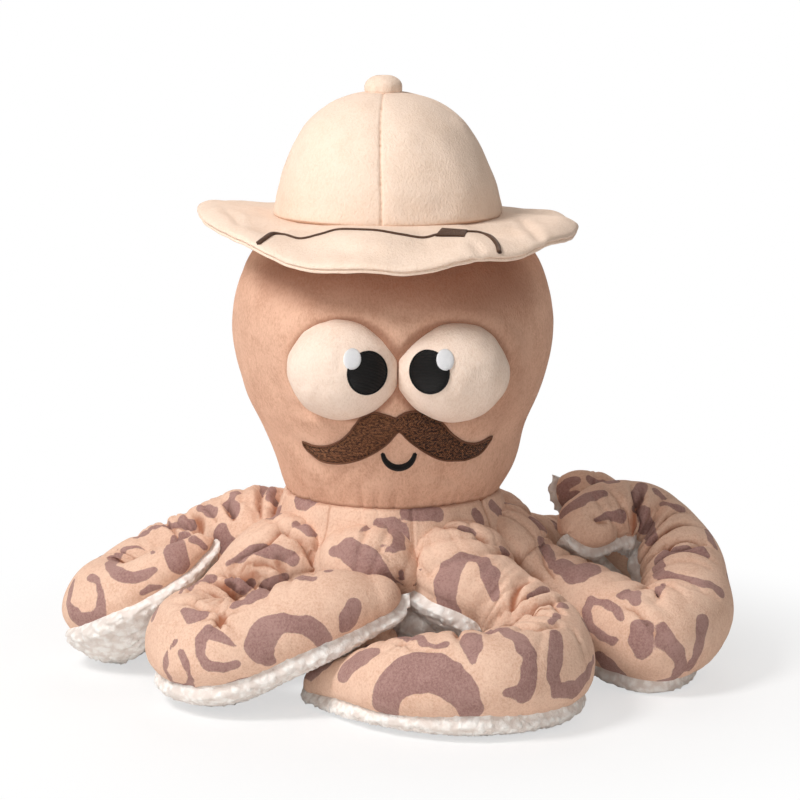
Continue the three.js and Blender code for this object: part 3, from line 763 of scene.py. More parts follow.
# %% Stations along the arms
def arm_line(arm):
    """Stations along an arm: middles, along, across and up, half sizes and the inside half width."""
    angle, curl, table = arm_rows[arm]
    aim = np.array([math.sin(math.radians(angle)), -math.cos(math.radians(angle))])
    middles = [[*(aim * neck_row_radius), neck_row_height],
               [*(aim * root_row_radius), root_row_height]]
    halves = [neck_row_half, root_row_half]
    for x, y, z, width, height in table:
        half_height = height * arm_half_size
        middles.append([x * arm_span, y * arm_span, max(z * root_height, half_height - resting_flat)])
        halves.append((width * arm_half_size, half_height))
    middles, halves = np.array(middles) + toy_axis, np.array(halves)
    gaps = np.linalg.norm(np.diff(middles, axis=0), axis=1) ** 0.5
    shares = np.linspace(0, len(middles) - 1, fine_steps * (len(middles) - 1) + 1)
    fine = spline(middles, shares, gaps)
    fine_travel = travel_along(fine)
    count = int(fine_travel[-1] / station_gap)
    travel = np.linspace(0, fine_travel[-1], count)
    even = np.interp(travel, fine_travel, shares)
    middle = spline(middles, even, gaps)
    half = spline(halves, even, np.ones(len(gaps)))
    half *= 1 + bell(travel - shoulder_place, shoulder_reach)[:, None] * shoulder_swell
    along = np.gradient(middle, axis=0)
    along /= np.linalg.norm(along, axis=1)[:, None]
    across = np.cross([0, 0, 1], along)
    across /= np.linalg.norm(across, axis=1)[:, None]
    up = np.cross(along, across)
    heading = np.unwrap(np.arctan2(along[:, 1], along[:, 0]))
    plan_step = np.linalg.norm(np.gradient(middle, axis=0)[:, :2], axis=1)
    reach = int(turn_window / station_gap)
    turning = running_mean(np.gradient(heading), reach)
    turning /= np.maximum(running_mean(plan_step, reach), tiny)
    inner = np.minimum(half[:, 0], tightest_share / np.maximum(curl * turning, tiny))
    return {"middle": middle, "along": along, "across": across * curl, "up": up, "half": half,
            "inner": running_mean(inner, reach // 2), "turning": curl * turning, "travel": travel}


lines = {arm: arm_line(arm) for arm in arm_rows}
for arm, line in lines.items():
    print(arm, "is", round(line["travel"][-1] * 1000), "mm long")

# %% [markdown]
# Folds are pillows with narrow valleys between them, not waves: the cloth bulges between the places
# where the elastic holds it. They are deepest along the inside of the curl, fade over the top, and
# return all round near the neck, where the cloth is gathered into the seam.

# %% Folds and swells
fold_pitch = 0.0112
fold_depth = 0.006
fold_slide = 0.0035
pucker_pitch = 0.0052
pucker_depth = 0.0011
neck_fold_start = 0.02
neck_fold_reach = 0.012
neck_fold_depth = 0.0026
neck_fold_pitch = 0.0095
neck_fold_shift = 0.1
valley_wander = 0.9
valley_wander_length = 2.3
swell_size = 0.03
swell_depth = 0.0012


def valleys(distance, pitch, seed):
    """One in the bottom of each valley, near zero between, at uneven distances."""
    warp = np.array([noise.noise(Vector((d / pitch / valley_wander_length + seed * 1.7, seed, 0)))
                     for d in distance])
    phase = distance / pitch + valley_wander * warp
    strength = np.array([0.6 + 0.7 * noise.noise(Vector((round(p) * 3.1 + seed, 0.5, seed)))
                         for p in phase])
    return np.clip(1 - np.abs(np.sin(math.pi * phase)), 0, 1) ** 2 * np.clip(strength, 0.15, 1.1)


gather_turns = {"arm_left": [(0, 105), (0.4, 105), (0.52, 40), (1, 0)],
                "arm_right": [(0, 25), (0.4, 15), (1, 5)]}
usual_gather = [(0, 32), (1, 32)]


def gather_side(arm, line, station, turn):
    """One on the line where the elastic holds the cloth, and -1 across the arm from it."""
    centre = np.radians(degrees_along(gather_turns.get(arm, usual_gather), line))[station]
    return np.cos(turn - centre)


def fold_drop(line, station, turn, side, seed):
    """How far the cloth is pulled in at each corner. The side is 1 on the line of the elastic."""
    travel = line["travel"][station]
    tight = smoothed(line["turning"][station] * arm_half_size, 0.05, 0.75)
    slide = travel + fold_slide * np.sin(turn * 2 + seed)
    inside = smoothed(side, -0.25, 0.85) * (0.55 + 0.45 * tight)
    drop = fold_depth * valleys(slide, fold_pitch, seed) * inside
    edge = smoothed(np.abs(side), 0.75, 1.0) * 0.7 + 0.3 * smoothed(side, 0.2, 0.9)
    return drop + pucker_depth * valleys(travel, pucker_pitch, seed + 20) * edge


def neck_drop(line, station, turn, seed):
    """Gathers that run along the arm from the neck seam and fade on their way down."""
    travel = line["travel"][station]
    fade = np.exp(-np.maximum(travel - neck_fold_start, 0) / neck_fold_reach)
    round_arm = turn * arm_half_size + neck_fold_shift
    return neck_fold_depth * fade * valleys(round_arm, neck_fold_pitch, seed + 40)


# %% [markdown]
# The cover is a skin with a thickness, open below like a C. Most corners of a ring lie on the
# outside, the others bring the ring back along the inside. At both edges the cloth rolls in
# towards the seam. Past each end of the line the rings shrink along a quarter of an ellipse.

# %% Arm covers
cover_corners = 136
cover_inner_corners = 24
cap_rings = 14
cover_lip_angle = math.radians(46)
cover_wall = 0.0026
lip_roll = 0.0022
lip_roll_reach = math.radians(16)
floor_clearance = 0.0003
full_shade_drop = 0.0045


def arm_stations(line):
    """For each ring, caps included: the station it belongs to and how far its cap has turned."""
    count = len(line["travel"])
    turns = np.linspace(0, math.pi / 2, cap_rings + 1)[1:]
    station = np.concatenate([np.zeros(cap_rings), np.arange(count), np.full(cap_rings, count - 1)])
    return station.astype(int), np.concatenate([-turns[::-1], np.zeros(count), turns])


def on_arm(line, station, cap, side, height, growth):
    """Places on the arm's section, in shares of its half sizes, grown outwards by some length."""
    half_width = np.where(side > 0, line["inner"][station], line["half"][station, 0]) + growth
    half_height = line["half"][station, 1] + growth
    shrink = np.cos(cap)
    across = (side * half_width * shrink)[:, None] * line["across"][station]
    up = (height * half_height * shrink)[:, None] * line["up"][station]
    reach = (np.sin(cap) * half_height)[:, None] * line["along"][station]
    return line["middle"][station] + across + up + reach


def rolled_sheet(arm, corners, inner_corners, first_turn, arc):
    """A thick sheet round an arm. Gives its bmesh, and each corner's station, its cap, whether it is
    outside, its share of the arc, its turn round the arm, and its place on the section."""
    ring_station, ring_cap = arm_stations(lines[arm])
    bm, ring, corner = straight_tube(corners, len(ring_station))
    outer_corners = corners - inner_corners
    outside = corner < outer_corners
    share = np.where(outside, corner / (outer_corners - 1),
                     1 - (corner - outer_corners + 0.5) / inner_corners)
    turn = first_turn + share * arc
    leaning = turn + twist_of(arm, lines[arm], ring_station[ring])
    return bm, ring_station[ring], ring_cap[ring], outside, share, turn, np.cos(leaning), np.sin(leaning)


def arm_seed(arm):
    """A whole number of its own for each arm, so that their folds and marks differ."""
    return list(arm_rows).index(arm) + 1


# %% Make a cover
def make_cover(arm):
    line, seed = lines[arm], arm_seed(arm)
    arc = math.pi + 2 * cover_lip_angle
    bm, station, cap, outside, share, turn, side, height = rolled_sheet(
        arm, cover_corners, cover_inner_corners, -cover_lip_angle, arc)
    growth = -lip_roll * bell(np.minimum(share, 1 - share) * arc, lip_roll_reach)
    drop = fold_drop(line, station, turn, gather_side(arm, line, station, turn), seed)
    drop += neck_drop(line, station, turn, seed)
    growth -= drop
    growth -= np.where(outside, 0, cover_wall)
    plain = on_arm(line, station, cap, side, height, np.zeros(len(side)))
    growth += swell_depth * ripple(plain, swell_size, seed)
    points = on_arm(line, station, cap, side, height, growth)
    move_to(bm, points)
    # Painted shade: the cover's colour darkens in its folds, more where they sink further.
    shade = np.clip(drop / full_shade_drop, 0, 1) ** 1.3
    points, shade = held_down(bm, points, arm_pulls.get(arm, []), shade)
    points[:, 2] = np.maximum(points[:, 2], floor_clearance)
    move_to(bm, points)
    store_painted_shade(bm, shade)
    return finished(f"{arm}_print_cloth", bm, printed_plush)


# %% [markdown]
# Beside the folds that come from the elastic, the photograph shows single gathers, and pinches where
# a stitch holds the cloth. Each row is a path through points of the picture, one point for a pinch,
# and its shares of the pulls' depth and width.

# %% Gathers that the photograph shows
arm_pulls = {
    "arm_left": [
        ([(229.6, 490), (228, 504), (234, 515)], 0.85, 0.8),
        ([(262, 487), (260, 501), (261, 517)], 0.75, 0.75),
        ([(283, 485), (277, 499), (272.5, 517)], 0.85, 0.8),
        ([(248, 494), (249, 505), (254, 515)], 0.35, 0.6),
        ([(267, 503), (268, 517)], 0.4, 0.6),
        ([(220.7, 492), (226, 503), (231, 509)], 0.45, 0.65),
        ([(188.6, 500), (192, 512), (201, 522), (203, 529)], 0.9, 0.8),
        ([(201, 497), (206, 508), (217, 519)], 0.5, 0.65),
        ([(178, 508), (188.6, 518), (198, 526)], 0.6, 0.65),
        ([(165, 514), (181, 522), (196, 528)], 0.55, 0.65),
        ([(151, 524), (174, 525), (194, 529)], 0.6, 0.7),
        ([(197, 531), (213, 538), (220, 556)], 0.65, 0.75),
        ([(122, 547), (96, 551), (80, 565)], 0.35, 0.6)],
    "arm_front_left": [
        ([(228, 565), (256, 547), (283, 532), (299, 539), (310, 553)], 0.85, 0.9),
        ([(231, 568), (249, 560), (270, 562), (286, 568)], 0.65, 0.7),
        ([(214, 575), (230, 569), (249, 568), (267, 577)], 0.65, 0.7),
        ([(222, 575), (238, 573), (253, 584)], 0.75, 0.9),
        ([(215, 583), (230, 590), (237, 598)], 0.85, 0.9),
        ([(160, 599), (174, 594), (196, 590), (213, 592), (222, 597)], 0.65, 0.75),
        ([(174, 602), (189, 602), (203, 608), (217, 609)], 0.5, 0.65),
        ([(181, 615), (171, 630), (160, 644)], 0.35, 0.6),
        ([(174, 608), (161, 631), (155, 641)], 0.325, 0.6),
        ([(185, 622), (176, 640), (167, 650)], 0.325, 0.6),
        ([(194, 621), (192, 640), (194, 660), (196, 688)], 0.275, 0.6),
        ([(221, 616)], 1.5, 1.1),
        ([(297, 524), (305, 540), (312, 555)], 0.5, 0.7),
        ([(317, 528), (315, 540), (313, 555)], 0.5, 0.65),
        ([(324, 535), (321, 546), (316, 556)], 0.55, 0.65),
        ([(285, 528), (298, 534)], 0.35, 0.6),
        ([(313, 557)], 1.125, 1)],
    "arm_front": [
        ([(393, 562), (401, 572), (405, 584)], 0.55, 0.7),
        ([(382, 549), (390, 556), (398, 560)], 0.4, 0.6),
        ([(366, 538), (378, 546), (388, 556)], 0.4, 0.6)],
    "arm_front_right": [
        ([(411, 550), (418, 535), (435, 526), (455, 524), (473, 530), (486, 541), (506, 548),
          (518, 560)], 0.65, 1),
        ([(420, 549), (413, 570)], 0.9, 0.6),
        ([(417, 545), (410, 563)], 0.5, 0.55),
        ([(529, 579), (519, 584), (514, 593), (512, 603)], 1.05, 0.95),
        ([(513, 611), (524, 599), (542, 593), (554, 588)], 0.65, 0.7),
        ([(511, 617), (529, 606), (552, 603), (562, 613)], 0.65, 0.7),
        ([(513, 624), (529, 614), (545, 614)], 0.6, 0.7),
        ([(517, 629), (539, 628), (559, 624)], 0.65, 0.7),
        ([(562, 624), (574, 630), (582, 646), (588, 674)], 0.45, 0.7),
        ([(544, 634), (539, 648), (538, 690)], 0.225, 0.6),
        ([(403, 642)], 0.9, 0.85),
        ([(490, 632)], 0.6, 0.7),
        ([(380, 652), (392, 646), (403, 641)], 0.35, 0.6),
        ([(403, 642), (423, 649), (436, 651)], 0.275, 0.6)],
    "arm_right": [
        ([(521, 573), (533, 573), (543, 578)], 0.6, 0.7),
        ([(541, 545), (545, 563), (554, 575)], 0.6, 0.7),
        ([(502, 546), (512, 556), (521, 566)], 0.75, 0.8),
        ([(641, 481), (642, 494), (636, 506), (633, 518)], 0.95, 0.9),
        ([(632, 500), (631, 510), (630, 519)], 0.55, 0.65),
        ([(618, 500), (622, 510), (624, 518)], 0.45, 0.6),
        ([(609, 496), (612, 506)], 0.3, 0.55),
        ([(589, 512), (597, 518), (606, 519)], 0.6, 0.7),
        ([(572, 551)], 0.85, 0.8),
        ([(658, 551), (672, 548), (690, 545), (705, 543)], 0.65, 0.7),
        ([(646, 500), (643, 512)], 0.35, 0.6),
        ([(620, 604), (636, 608), (648, 622), (660, 640)], 0.6, 0.7),
        ([(660, 643), (668, 652)], 0.35, 0.6),
        ([(646, 594), (662, 606), (676, 622)], 0.325, 0.9),
        ([(683, 584), (700, 590), (716, 596)], 0.35, 0.7),
        ([(586, 598), (581, 610), (589, 628)], 0.4, 0.65)],
    "arm_back_right": [([(594, 478), (594, 488)], 0.75, 0.75)],
}
print("gathers:", sum(len(pulls) for pulls in arm_pulls.values()))

# %% The covers
covers = {arm: make_cover(arm) for arm in arm_rows}

# %% [markdown]
# The underside is the same kind of skin, open above. Its curls are lumps a few millimetres across,
# larger along the seam, where the pile springs out from under the cover's edge. It is flat only
# where the arm rests on the ground.

# %% Sherpa undersides
under_corners = 88
under_inner_corners = 14
under_overlap = math.radians(10)
under_wall = 0.003
lump_size = 0.0032
lump_depth = 0.0017
seam_fluff = 0.0016
tuck_depth = 0.003
tuck_reach = 1.1
fluff_place = 1.6
fluff_reach = 1.3
floor_fluff = 0.0004


def curls(points, size, seed):
    """Rounded lumps from 0 to about 1: high inside a curl, low between two."""
    large, small = np.abs(ripple(points, size, seed)), np.abs(ripple(points, size / 2, seed + 1))
    return 1 - large * 0.8 - 0.3 * small


def make_underside(arm):
    line = lines[arm]
    arc = math.pi - 2 * cover_lip_angle + 2 * under_overlap
    bm, station, cap, outside, share, _, side, height = rolled_sheet(
        arm, under_corners, under_inner_corners, math.pi + cover_lip_angle - under_overlap, arc)
    from_edge = np.minimum(share, 1 - share) * arc
    tucked = smoothed(from_edge, 0, under_overlap * tuck_reach)
    plain = on_arm(line, station, cap, side, height, np.zeros(len(side)))
    fluff = curls(plain, lump_size, arm_seed(arm) + 60)
    near_seam = bell(from_edge - under_overlap * fluff_place, under_overlap * fluff_reach)
    raised = tucked * (lump_depth * fluff + seam_fluff * near_seam)
    growth = np.where(outside, -tuck_depth * (1 - tucked) + raised, -under_wall)
    points = on_arm(line, station, cap, side, height, growth)
    floor = floor_clearance + np.where(outside, floor_fluff * (1 - fluff), under_wall)
    points[:, 2] = np.maximum(points[:, 2], floor)
    move_to(bm, points)
    return finished(f"{arm}_sherpa_cloth", bm, white_sherpa)


undersides = {arm: make_underside(arm) for arm in arm_rows}

# %% [markdown]
# ## Body
# Between the arms' roots hangs the belly, a sherpa bag. It is turned from its outline with the spin
# operator, and its curls are raised as on the undersides. It swells between the two front arms,
# where the photograph shows it.

# %% Turned shapes
full_turn = 2 * math.pi
outline_steps = 40
path_steps = 30


def eased(path, count, closed=False, steps=path_steps):
    """Evenly spaced points on a smooth curve through a few given ones."""
    rows = np.array(path, float)
    if closed:
        rows = np.vstack([rows, rows[:1]])
    gaps = np.maximum(np.linalg.norm(np.diff(rows, axis=0), axis=1), tiny) ** 0.5
    shares = np.linspace(0, len(rows) - 1, steps * len(rows))
    travel = travel_along(spline(rows, shares, gaps))
    even = np.interp(np.linspace(0, travel[-1], count, endpoint=not closed), travel, shares)
    return spline(rows, even, gaps)


def smooth_outline(rows, count):
    """Points of [radius, height], evenly spaced on a smooth curve through a few of them."""
    outline = eased(rows, count, steps=outline_steps)
    outline[:, 0] = np.maximum(outline[:, 0], 0)
    return outline


def turned(outline, sides, axis=toy_axis):
    """A bmesh spun a full turn from an outline of [radius, height] about an upright axis."""
    bm = bmesh.new()
    bmesh.ops.create_circle(bm, segments=3, radius=1)
    bmesh.ops.delete(bm, geom=bm.verts[1:], context="VERTS")
    start = bm.verts[:][0]
    start.co = (outline[0][0], 0, outline[0][1])
    for radius, height in outline[1:]:
        made = bmesh.ops.extrude_vert_indiv(bm, verts=[start])
        start = made["verts"][0]
        start.co = (radius, 0, height)
    bmesh.ops.spin(bm, geom=bm.verts[:] + bm.edges[:], cent=(0, 0, 0), axis=(0, 0, 1),
                   dvec=(0, 0, 0), angle=full_turn, steps=sides, use_merge=True)
    bmesh.ops.remove_doubles(bm, verts=bm.verts, dist=merge_distance)
    bmesh.ops.translate(bm, verts=bm.verts, vec=axis)
    return bm


def polar(bm, axis=toy_axis):
    """Each corner's radius, angle from the front, towards +X, and height about an upright axis."""
    points = places_in(bm)
    x, y = points[:, 0] - axis[0], points[:, 1] - axis[1]
    return points, np.hypot(x, y), np.arctan2(x, -y), points[:, 2]


def away_from_axis(angle, rise=0.0):
    """The way out from an upright axis at each angle, with a rise where it also goes up."""
    return np.stack([np.sin(angle), -np.cos(angle), np.full(len(angle), rise)], axis=1)


def nearest_seam(angle, seams):
    """How far each angle is from the nearest of some seams."""
    return np.min([np.abs((angle - seam + math.pi) % full_turn - math.pi) for seam in seams], axis=0)


# %% Belly
belly_outline = [(0, 0.0006), (0.02, 0.0006), (0.032, 0.004), (0.0385, 0.018), (0.0405, 0.034),
                 (0.039, 0.05), (0.034, 0.063), (0.02, 0.068), (0, 0.068)]
belly_full_turn = math.radians(14)
belly_full_reach = math.radians(22)
belly_full_depth = 0.019
belly_full_height = 0.03
belly_full_half_height = 0.016
belly_full_edge = (0.02, 0.036)
belly_curl_edge = (0.01, 0.03)

bm = turned(smooth_outline(belly_outline, 90), 180)
points, radius, angle, height = polar(bm)
fluff = curls(points, lump_size, 90)
outwards = away_from_axis(angle)
points += outwards * (lump_depth * fluff * smoothed(radius, *belly_curl_edge))[:, None]
fullness = bell(angle - belly_full_turn, belly_full_reach)
fullness *= bell(height - belly_full_height, belly_full_half_height)
points += outwards * (belly_full_depth * fullness * smoothed(radius, *belly_full_edge))[:, None]
move_to(bm, points)
belly = finished("belly_sherpa", bm, white_sherpa)

# %% [markdown]
# A narrow ring of the printed cloth closes the body between the neck and the arms. The arms' covers
# hide most of it; only its rolled edge shows under the head, and where two arms part.

# %% Yoke ring
neck_radius = 0.0475
yoke_outline = [(0.033, 0.05), (0.052, 0.0478), (0.0568, 0.0492), (0.0572, 0.055), (0.0548, 0.0625),
                (0.0518, 0.0705), (0.0494, 0.0768), (0.0484, 0.0795), (0.0468, 0.0808), (0.044, 0.0798),
                (0.033, 0.0795), (0.033, 0.05)]
panel_seams = [math.radians(a) for a in (10, 57, 102, 147, -168, -123, -79, -34)]
panel_seam_depth = 0.0009
panel_seam_width = 0.0009
yoke_skin_edge = (0.042, 0.048)
yoke_gather_pitch = 0.0085
yoke_gather_depth = 0.0009
yoke_gather_rise = (0.06, 0.078)
yoke_swells = [(0.0008, 0.012, 71)]
neck_shade_rise = (0.0785, 0.0815)

bm = turned(smooth_outline(yoke_outline, 60), 420)
points, radius, angle, height = polar(bm)
on_skin = smoothed(radius, *yoke_skin_edge)
gather = valleys((angle + math.pi) * neck_radius, yoke_gather_pitch, 70)
gather *= on_skin * smoothed(height, *yoke_gather_rise)
seam = bell(nearest_seam(angle, panel_seams) * radius, panel_seam_width) * on_skin
moved = swelled(points, yoke_swells) * on_skin - yoke_gather_depth * gather - panel_seam_depth * seam
move_to(bm, points + away_from_axis(angle) * moved[:, None])
# Painted shade in the panel seams and in the band just under the head.
store_painted_shade(bm, np.maximum(0.7 * seam, 0.8 * smoothed(height, *neck_shade_rise)))
yoke = finished("yoke_cloth", bm, printed_plush)

# %% [markdown]
# ## Print
# Each mark of the print is a brush stroke: broken rings, arches, hooks and blobs. Those that the
# photograph shows are given by the points of the picture that the brush runs through, each with the
# brush's width there. They are laid on the cloth from the camera. The rest are scattered over the
# sides and the back.

# %% Marks of the print
shown_marks = {
    "arm_left": [
        [(153, 553, 2.5), (136.5, 546.5, 3.5), (124, 549, 6), (113.6, 559, 11.5), (111, 567, 11.5),
         (120, 576, 11), (131.4, 577.8, 9.5), (144, 576, 9), (154.4, 569.5, 6.5)],
        [(211.8, 561.8, 6.5), (209, 551.6, 7), (200.3, 542.7, 7.5), (187.6, 537.6, 9), (177.3, 541.4, 14),
         (174.8, 551.6, 21), (178.6, 563, 19), (181.2, 570.8, 10)],
        [(135.3, 537.6, 7), (146.7, 532.5, 7.5), (151.8, 527.4, 6), (168.4, 524.9, 6), (195.2, 527.4, 5)],
        [(76.6, 572, 6), (71, 588.6, 7), (68, 604, 8), (72, 615, 14), (83, 622, 17), (96, 620, 17),
         (101.5, 610, 10), (100.8, 592.5, 6.5), (97, 581, 7), (90, 577.5, 8)],
        [(142.8, 593, 8), (150, 588.6, 8), (159.5, 586.7, 4)],
        [(220.7, 533.8, 19), (227, 545.3, 22), (228.4, 555.5, 15)],
        [(246, 545, 10), (258, 538, 10)],
        [(79, 567, 4), (83, 558, 5), (95.7, 551.6, 5), (117.4, 549.7, 3.5)],
        [(174.8, 514.6, 8), (187.6, 521, 8), (194, 525, 5)], [(200.3, 505.7, 10), (213, 513.4, 12)],
        [(231, 503, 12), (234.7, 512, 12)], [(233, 497, 9), (238, 487, 12), (252, 484, 8)],
        [(266, 489, 12), (272, 497, 16), (276, 502, 10)]],
    "arm_front_left": [
        [(233, 605, 6), (250, 598, 15), (269, 588, 17), (283.7, 578, 11)],
        [(269, 660, 13), (258.4, 647, 24), (263.7, 631.6, 23), (283.7, 623, 17), (304.7, 624, 16),
         (317.4, 633.7, 17), (323.7, 642, 13.5)],
        [(235, 646, 3), (222.6, 638, 7.4), (208, 630.5, 12.6), (199.5, 639, 10.5), (200.5, 653.7, 10.5),
         (208, 665, 10.5), (222.6, 668.4, 7.4), (237.4, 664, 7.4)],
        [(176, 641, 4.5), (167, 652, 4.5), (164.5, 669, 5), (173.5, 683, 6), (189, 690, 6), (191, 679, 6),
         (184.7, 662, 6), (180.5, 653.7, 6)],
        [(353, 607.4, 16), (349, 618, 18), (346, 628.4, 9.5)],
        [(227, 563, 5), (241.6, 557, 12.6), (262.6, 549.5, 13.7), (279.5, 552.6, 12.6), (294, 560, 10.5)],
        [(229, 582, 9), (241, 587, 14), (252, 583, 8)], [(183, 610, 8), (193, 616, 14), (205, 613, 10)],
        [(181, 592, 6), (196, 583, 12), (213, 578, 9)], [(229, 684, 5), (245, 679, 8), (262, 676, 5)],
        [(296, 524, 8), (306, 527, 13), (313, 532, 8)],
        [(315.6, 512.6, 8), (328, 523, 20), (336, 532, 18), (345, 528, 8)]],
    "arm_front": [
        [(336, 551, 12), (347.6, 548.7, 20), (362.3, 559, 28), (374, 572, 24), (388.7, 583.9, 14),
         (393, 595.6, 9)],
        [(359.3, 532.5, 4.5), (374, 525, 7.5), (388.7, 526.7, 10.5), (399, 534, 12), (400.4, 544, 12),
         (393, 548.7, 9), (382.8, 546.5, 4.5)],
        [(400.4, 572, 6), (403.3, 584, 6)]],
    "arm_front_right": [
        [(409.2, 512, 10), (422.4, 512, 14), (434, 516.4, 12)],
        [(456, 619, 13), (447.3, 604.4, 19), (444.4, 585.3, 20.5), (450.3, 567.7, 19), (462, 559, 13),
         (470.8, 559, 9), (482.5, 560.4, 13), (489.9, 572, 16), (491.3, 585.3, 12), (493.5, 597, 6)],
        [(460, 528, 6), (472, 533, 6)],
        [(343.2, 671.9, 18), (356.4, 660, 24), (374, 652.8, 10)],
        [(400.5, 637, 12), (412, 633.7, 9), (425.3, 644, 7), (435.6, 647, 6.5), (445.9, 644, 7)],
        [(470.8, 638, 20), (472.3, 648.4, 16), (473.7, 660, 6)],
        [(384.3, 709, 24), (388, 694, 27), (396, 680, 30), (412, 672, 34), (430, 672, 34), (448, 679, 30),
         (463, 692, 26), (470, 707, 22), (470, 716, 16)],
        [(488, 634, 8), (501.3, 629.3, 10), (519.6, 639, 15), (529.5, 655.8, 15), (529.5, 679, 15),
         (522.9, 694, 15), (506.3, 692.3, 6)],
        [(556, 636, 13), (556, 654, 16), (552.7, 675.7, 15), (557.7, 689, 16), (574.3, 690.6, 15),
         (587.5, 675.7, 10), (593.3, 659, 7)],
        [(552, 621, 8), (557, 617, 9)], [(562, 603.5, 10), (564, 604, 10)],
        [(529.5, 596, 7), (542, 592, 7), (554, 588.6, 5)],
        [(503, 549.7, 8), (513, 554.6, 8), (519.6, 563, 8)],
        [(495, 504, 14), (500, 515, 16), (505, 526, 12)]],
    "arm_right": [
        [(621.4, 618, 5), (616.2, 607.8, 8), (604.5, 602, 7.5), (591.3, 600.5, 9), (585.5, 610.8, 10),
         (589.9, 625.4, 9), (600, 635.7, 9), (610.4, 640, 9), (617, 638.6, 6)],
        [(641.2, 629.8, 20), (641.2, 641.6, 23), (639.7, 654.8, 12)],
        [(622, 596, 9), (632, 592, 12), (636, 600, 8)],
        [(660, 629, 11), (668, 640, 15), (676, 652, 14), (681, 665, 12), (677, 676, 12), (668, 682, 9),
         (660, 681, 6)],
        [(702.8, 622.5, 16), (701.3, 637, 13), (696.9, 654.8, 12), (688, 669.4, 9)],
        [(601.6, 659, 17), (613.3, 671, 25), (626.5, 681, 17)],
        [(707.2, 556.5, 7), (702.8, 549, 9), (686.6, 549, 7), (669, 552, 9), (657.3, 563.8, 12),
         (658.8, 574, 13), (674.9, 578.5, 7.5), (695.4, 581.4, 7.5), (713, 585.8, 10), (720.4, 591.7, 12)],
        [(642.6, 514, 15), (645.6, 525.7, 19), (651.4, 539, 12)], [(728, 563, 6), (731, 573, 6)],
        [(657.3, 492, 8), (664.6, 498, 6)], [(663, 503.7, 6), (683.7, 509.6, 6)],
        [(562, 514, 9), (572.3, 505.2, 13), (588.4, 496.4, 13), (603, 492, 10)],
        [(641, 486, 9), (636.8, 497.9, 13), (633.8, 508, 7)],
        [(595.7, 519.9, 5), (608.9, 515.5, 10), (622, 515.5, 12)],
        [(541, 540, 10), (548, 551, 12), (552, 565, 8)],
        [(565, 568, 20), (578, 572, 26), (590, 568, 20)], [(618, 559, 14), (625, 567, 18), (632, 575, 12)],
        [(533, 521, 10), (543, 526, 14), (553, 532, 10)]],
    "arm_back_right": [
        [(560, 490, 12), (566, 484, 14), (576, 481, 10)], [(560, 506, 12), (568, 500, 14), (576, 495, 10)],
        [(590, 480, 8), (603, 483, 8)], [(513, 510, 10), (521, 516, 10)]],
    "arm_back": [], "arm_back_left": [],
    "yoke": [
        [(407, 512, 12), (422, 512, 15), (436, 514, 12)], [(493, 506, 12), (500, 514, 14), (507, 525, 12)],
        [(380, 524, 10), (392, 524, 12), (401, 531, 13), (402, 543, 13), (396, 549, 10)]],
}
picture_step = 2 * camera_distance * math.tan(view_width_angle / 2) / picture_size
brush_share = 1.16
print("one step of the picture is", round(picture_step * 1000, 3), "mm at the toy")


def stroke_on(surface, path):
    """A stroke through points of the picture, laid on a surface: its points, facing and widths."""
    places, facing, widths = laid_path(surface, path)
    return {"points": places, "facing": facing, "widths": widths.ravel() * picture_step * brush_share}


# %% Scattered marks
mark_sizes = (0.006, 0.0115)
mark_widths = (0.0042, 0.0075)
mark_openings = (0.6, 2.6)
blob_chance = 0.3
blob_opening = 4
mark_points = 9
mark_room = 0.0075
scatter_tries = 500
lowest_facing = -0.3


def scattered_stroke(surface, centre, facing, chance):
    """A random broken ring, arch or blob laid on a surface about a point."""
    sideways = Vector(facing).orthogonal().normalized()
    upwards = Vector(facing).cross(sideways)
    size = chance.uniform(*mark_sizes)
    shape = size * chance.uniform(0.6, 1), size
    opening = chance.uniform(*mark_openings)
    start = chance.uniform(0, full_turn)
    width = chance.uniform(*mark_widths)
    if chance.random() < blob_chance:
        shape, opening, width = (size * 0.35, size * 0.2), blob_opening, size * 0.9
    places = []
    for step in range(mark_points):
        turn = start + opening / 2 + step / (mark_points - 1) * (full_turn - opening)
        flat = centre + shape[0] * math.cos(turn) * sideways + shape[1] * math.sin(turn) * upwards
        places.append(surface.find_nearest(flat)[0])
    widths = width * np.array([chance.uniform(0.8, 1.15) for _ in places])
    return {"points": np.array(places), "facing": np.array([facing] * len(places)), "widths": widths}


def scatter_marks(piece, surface, strokes, seed):
    chance = random.Random(seed)
    points, facing = stored(piece, "co"), stored(piece, "normal")
    for _ in range(scatter_tries):
        pick = chance.randrange(len(points))
        if facing[pick][2] < lowest_facing:
            continue
        centre = Vector(points[pick])
        stroke = scattered_stroke(surface, centre, Vector(facing[pick]), chance)
        near = [np.linalg.norm(other["points"][:, None] - stroke["points"][None], axis=2).min()
                - other["widths"].max() / 2 - stroke["widths"].max() / 2 for other in strokes]
        if not near or min(near) > mark_room * chance.uniform(0.4, 1):
            strokes.append(stroke)
    return strokes


# %% Dye the covers
deepest_print = 0.004
edge_wander_size = 0.006
edge_wander = 0.0009
lowest_agreement = -0.2


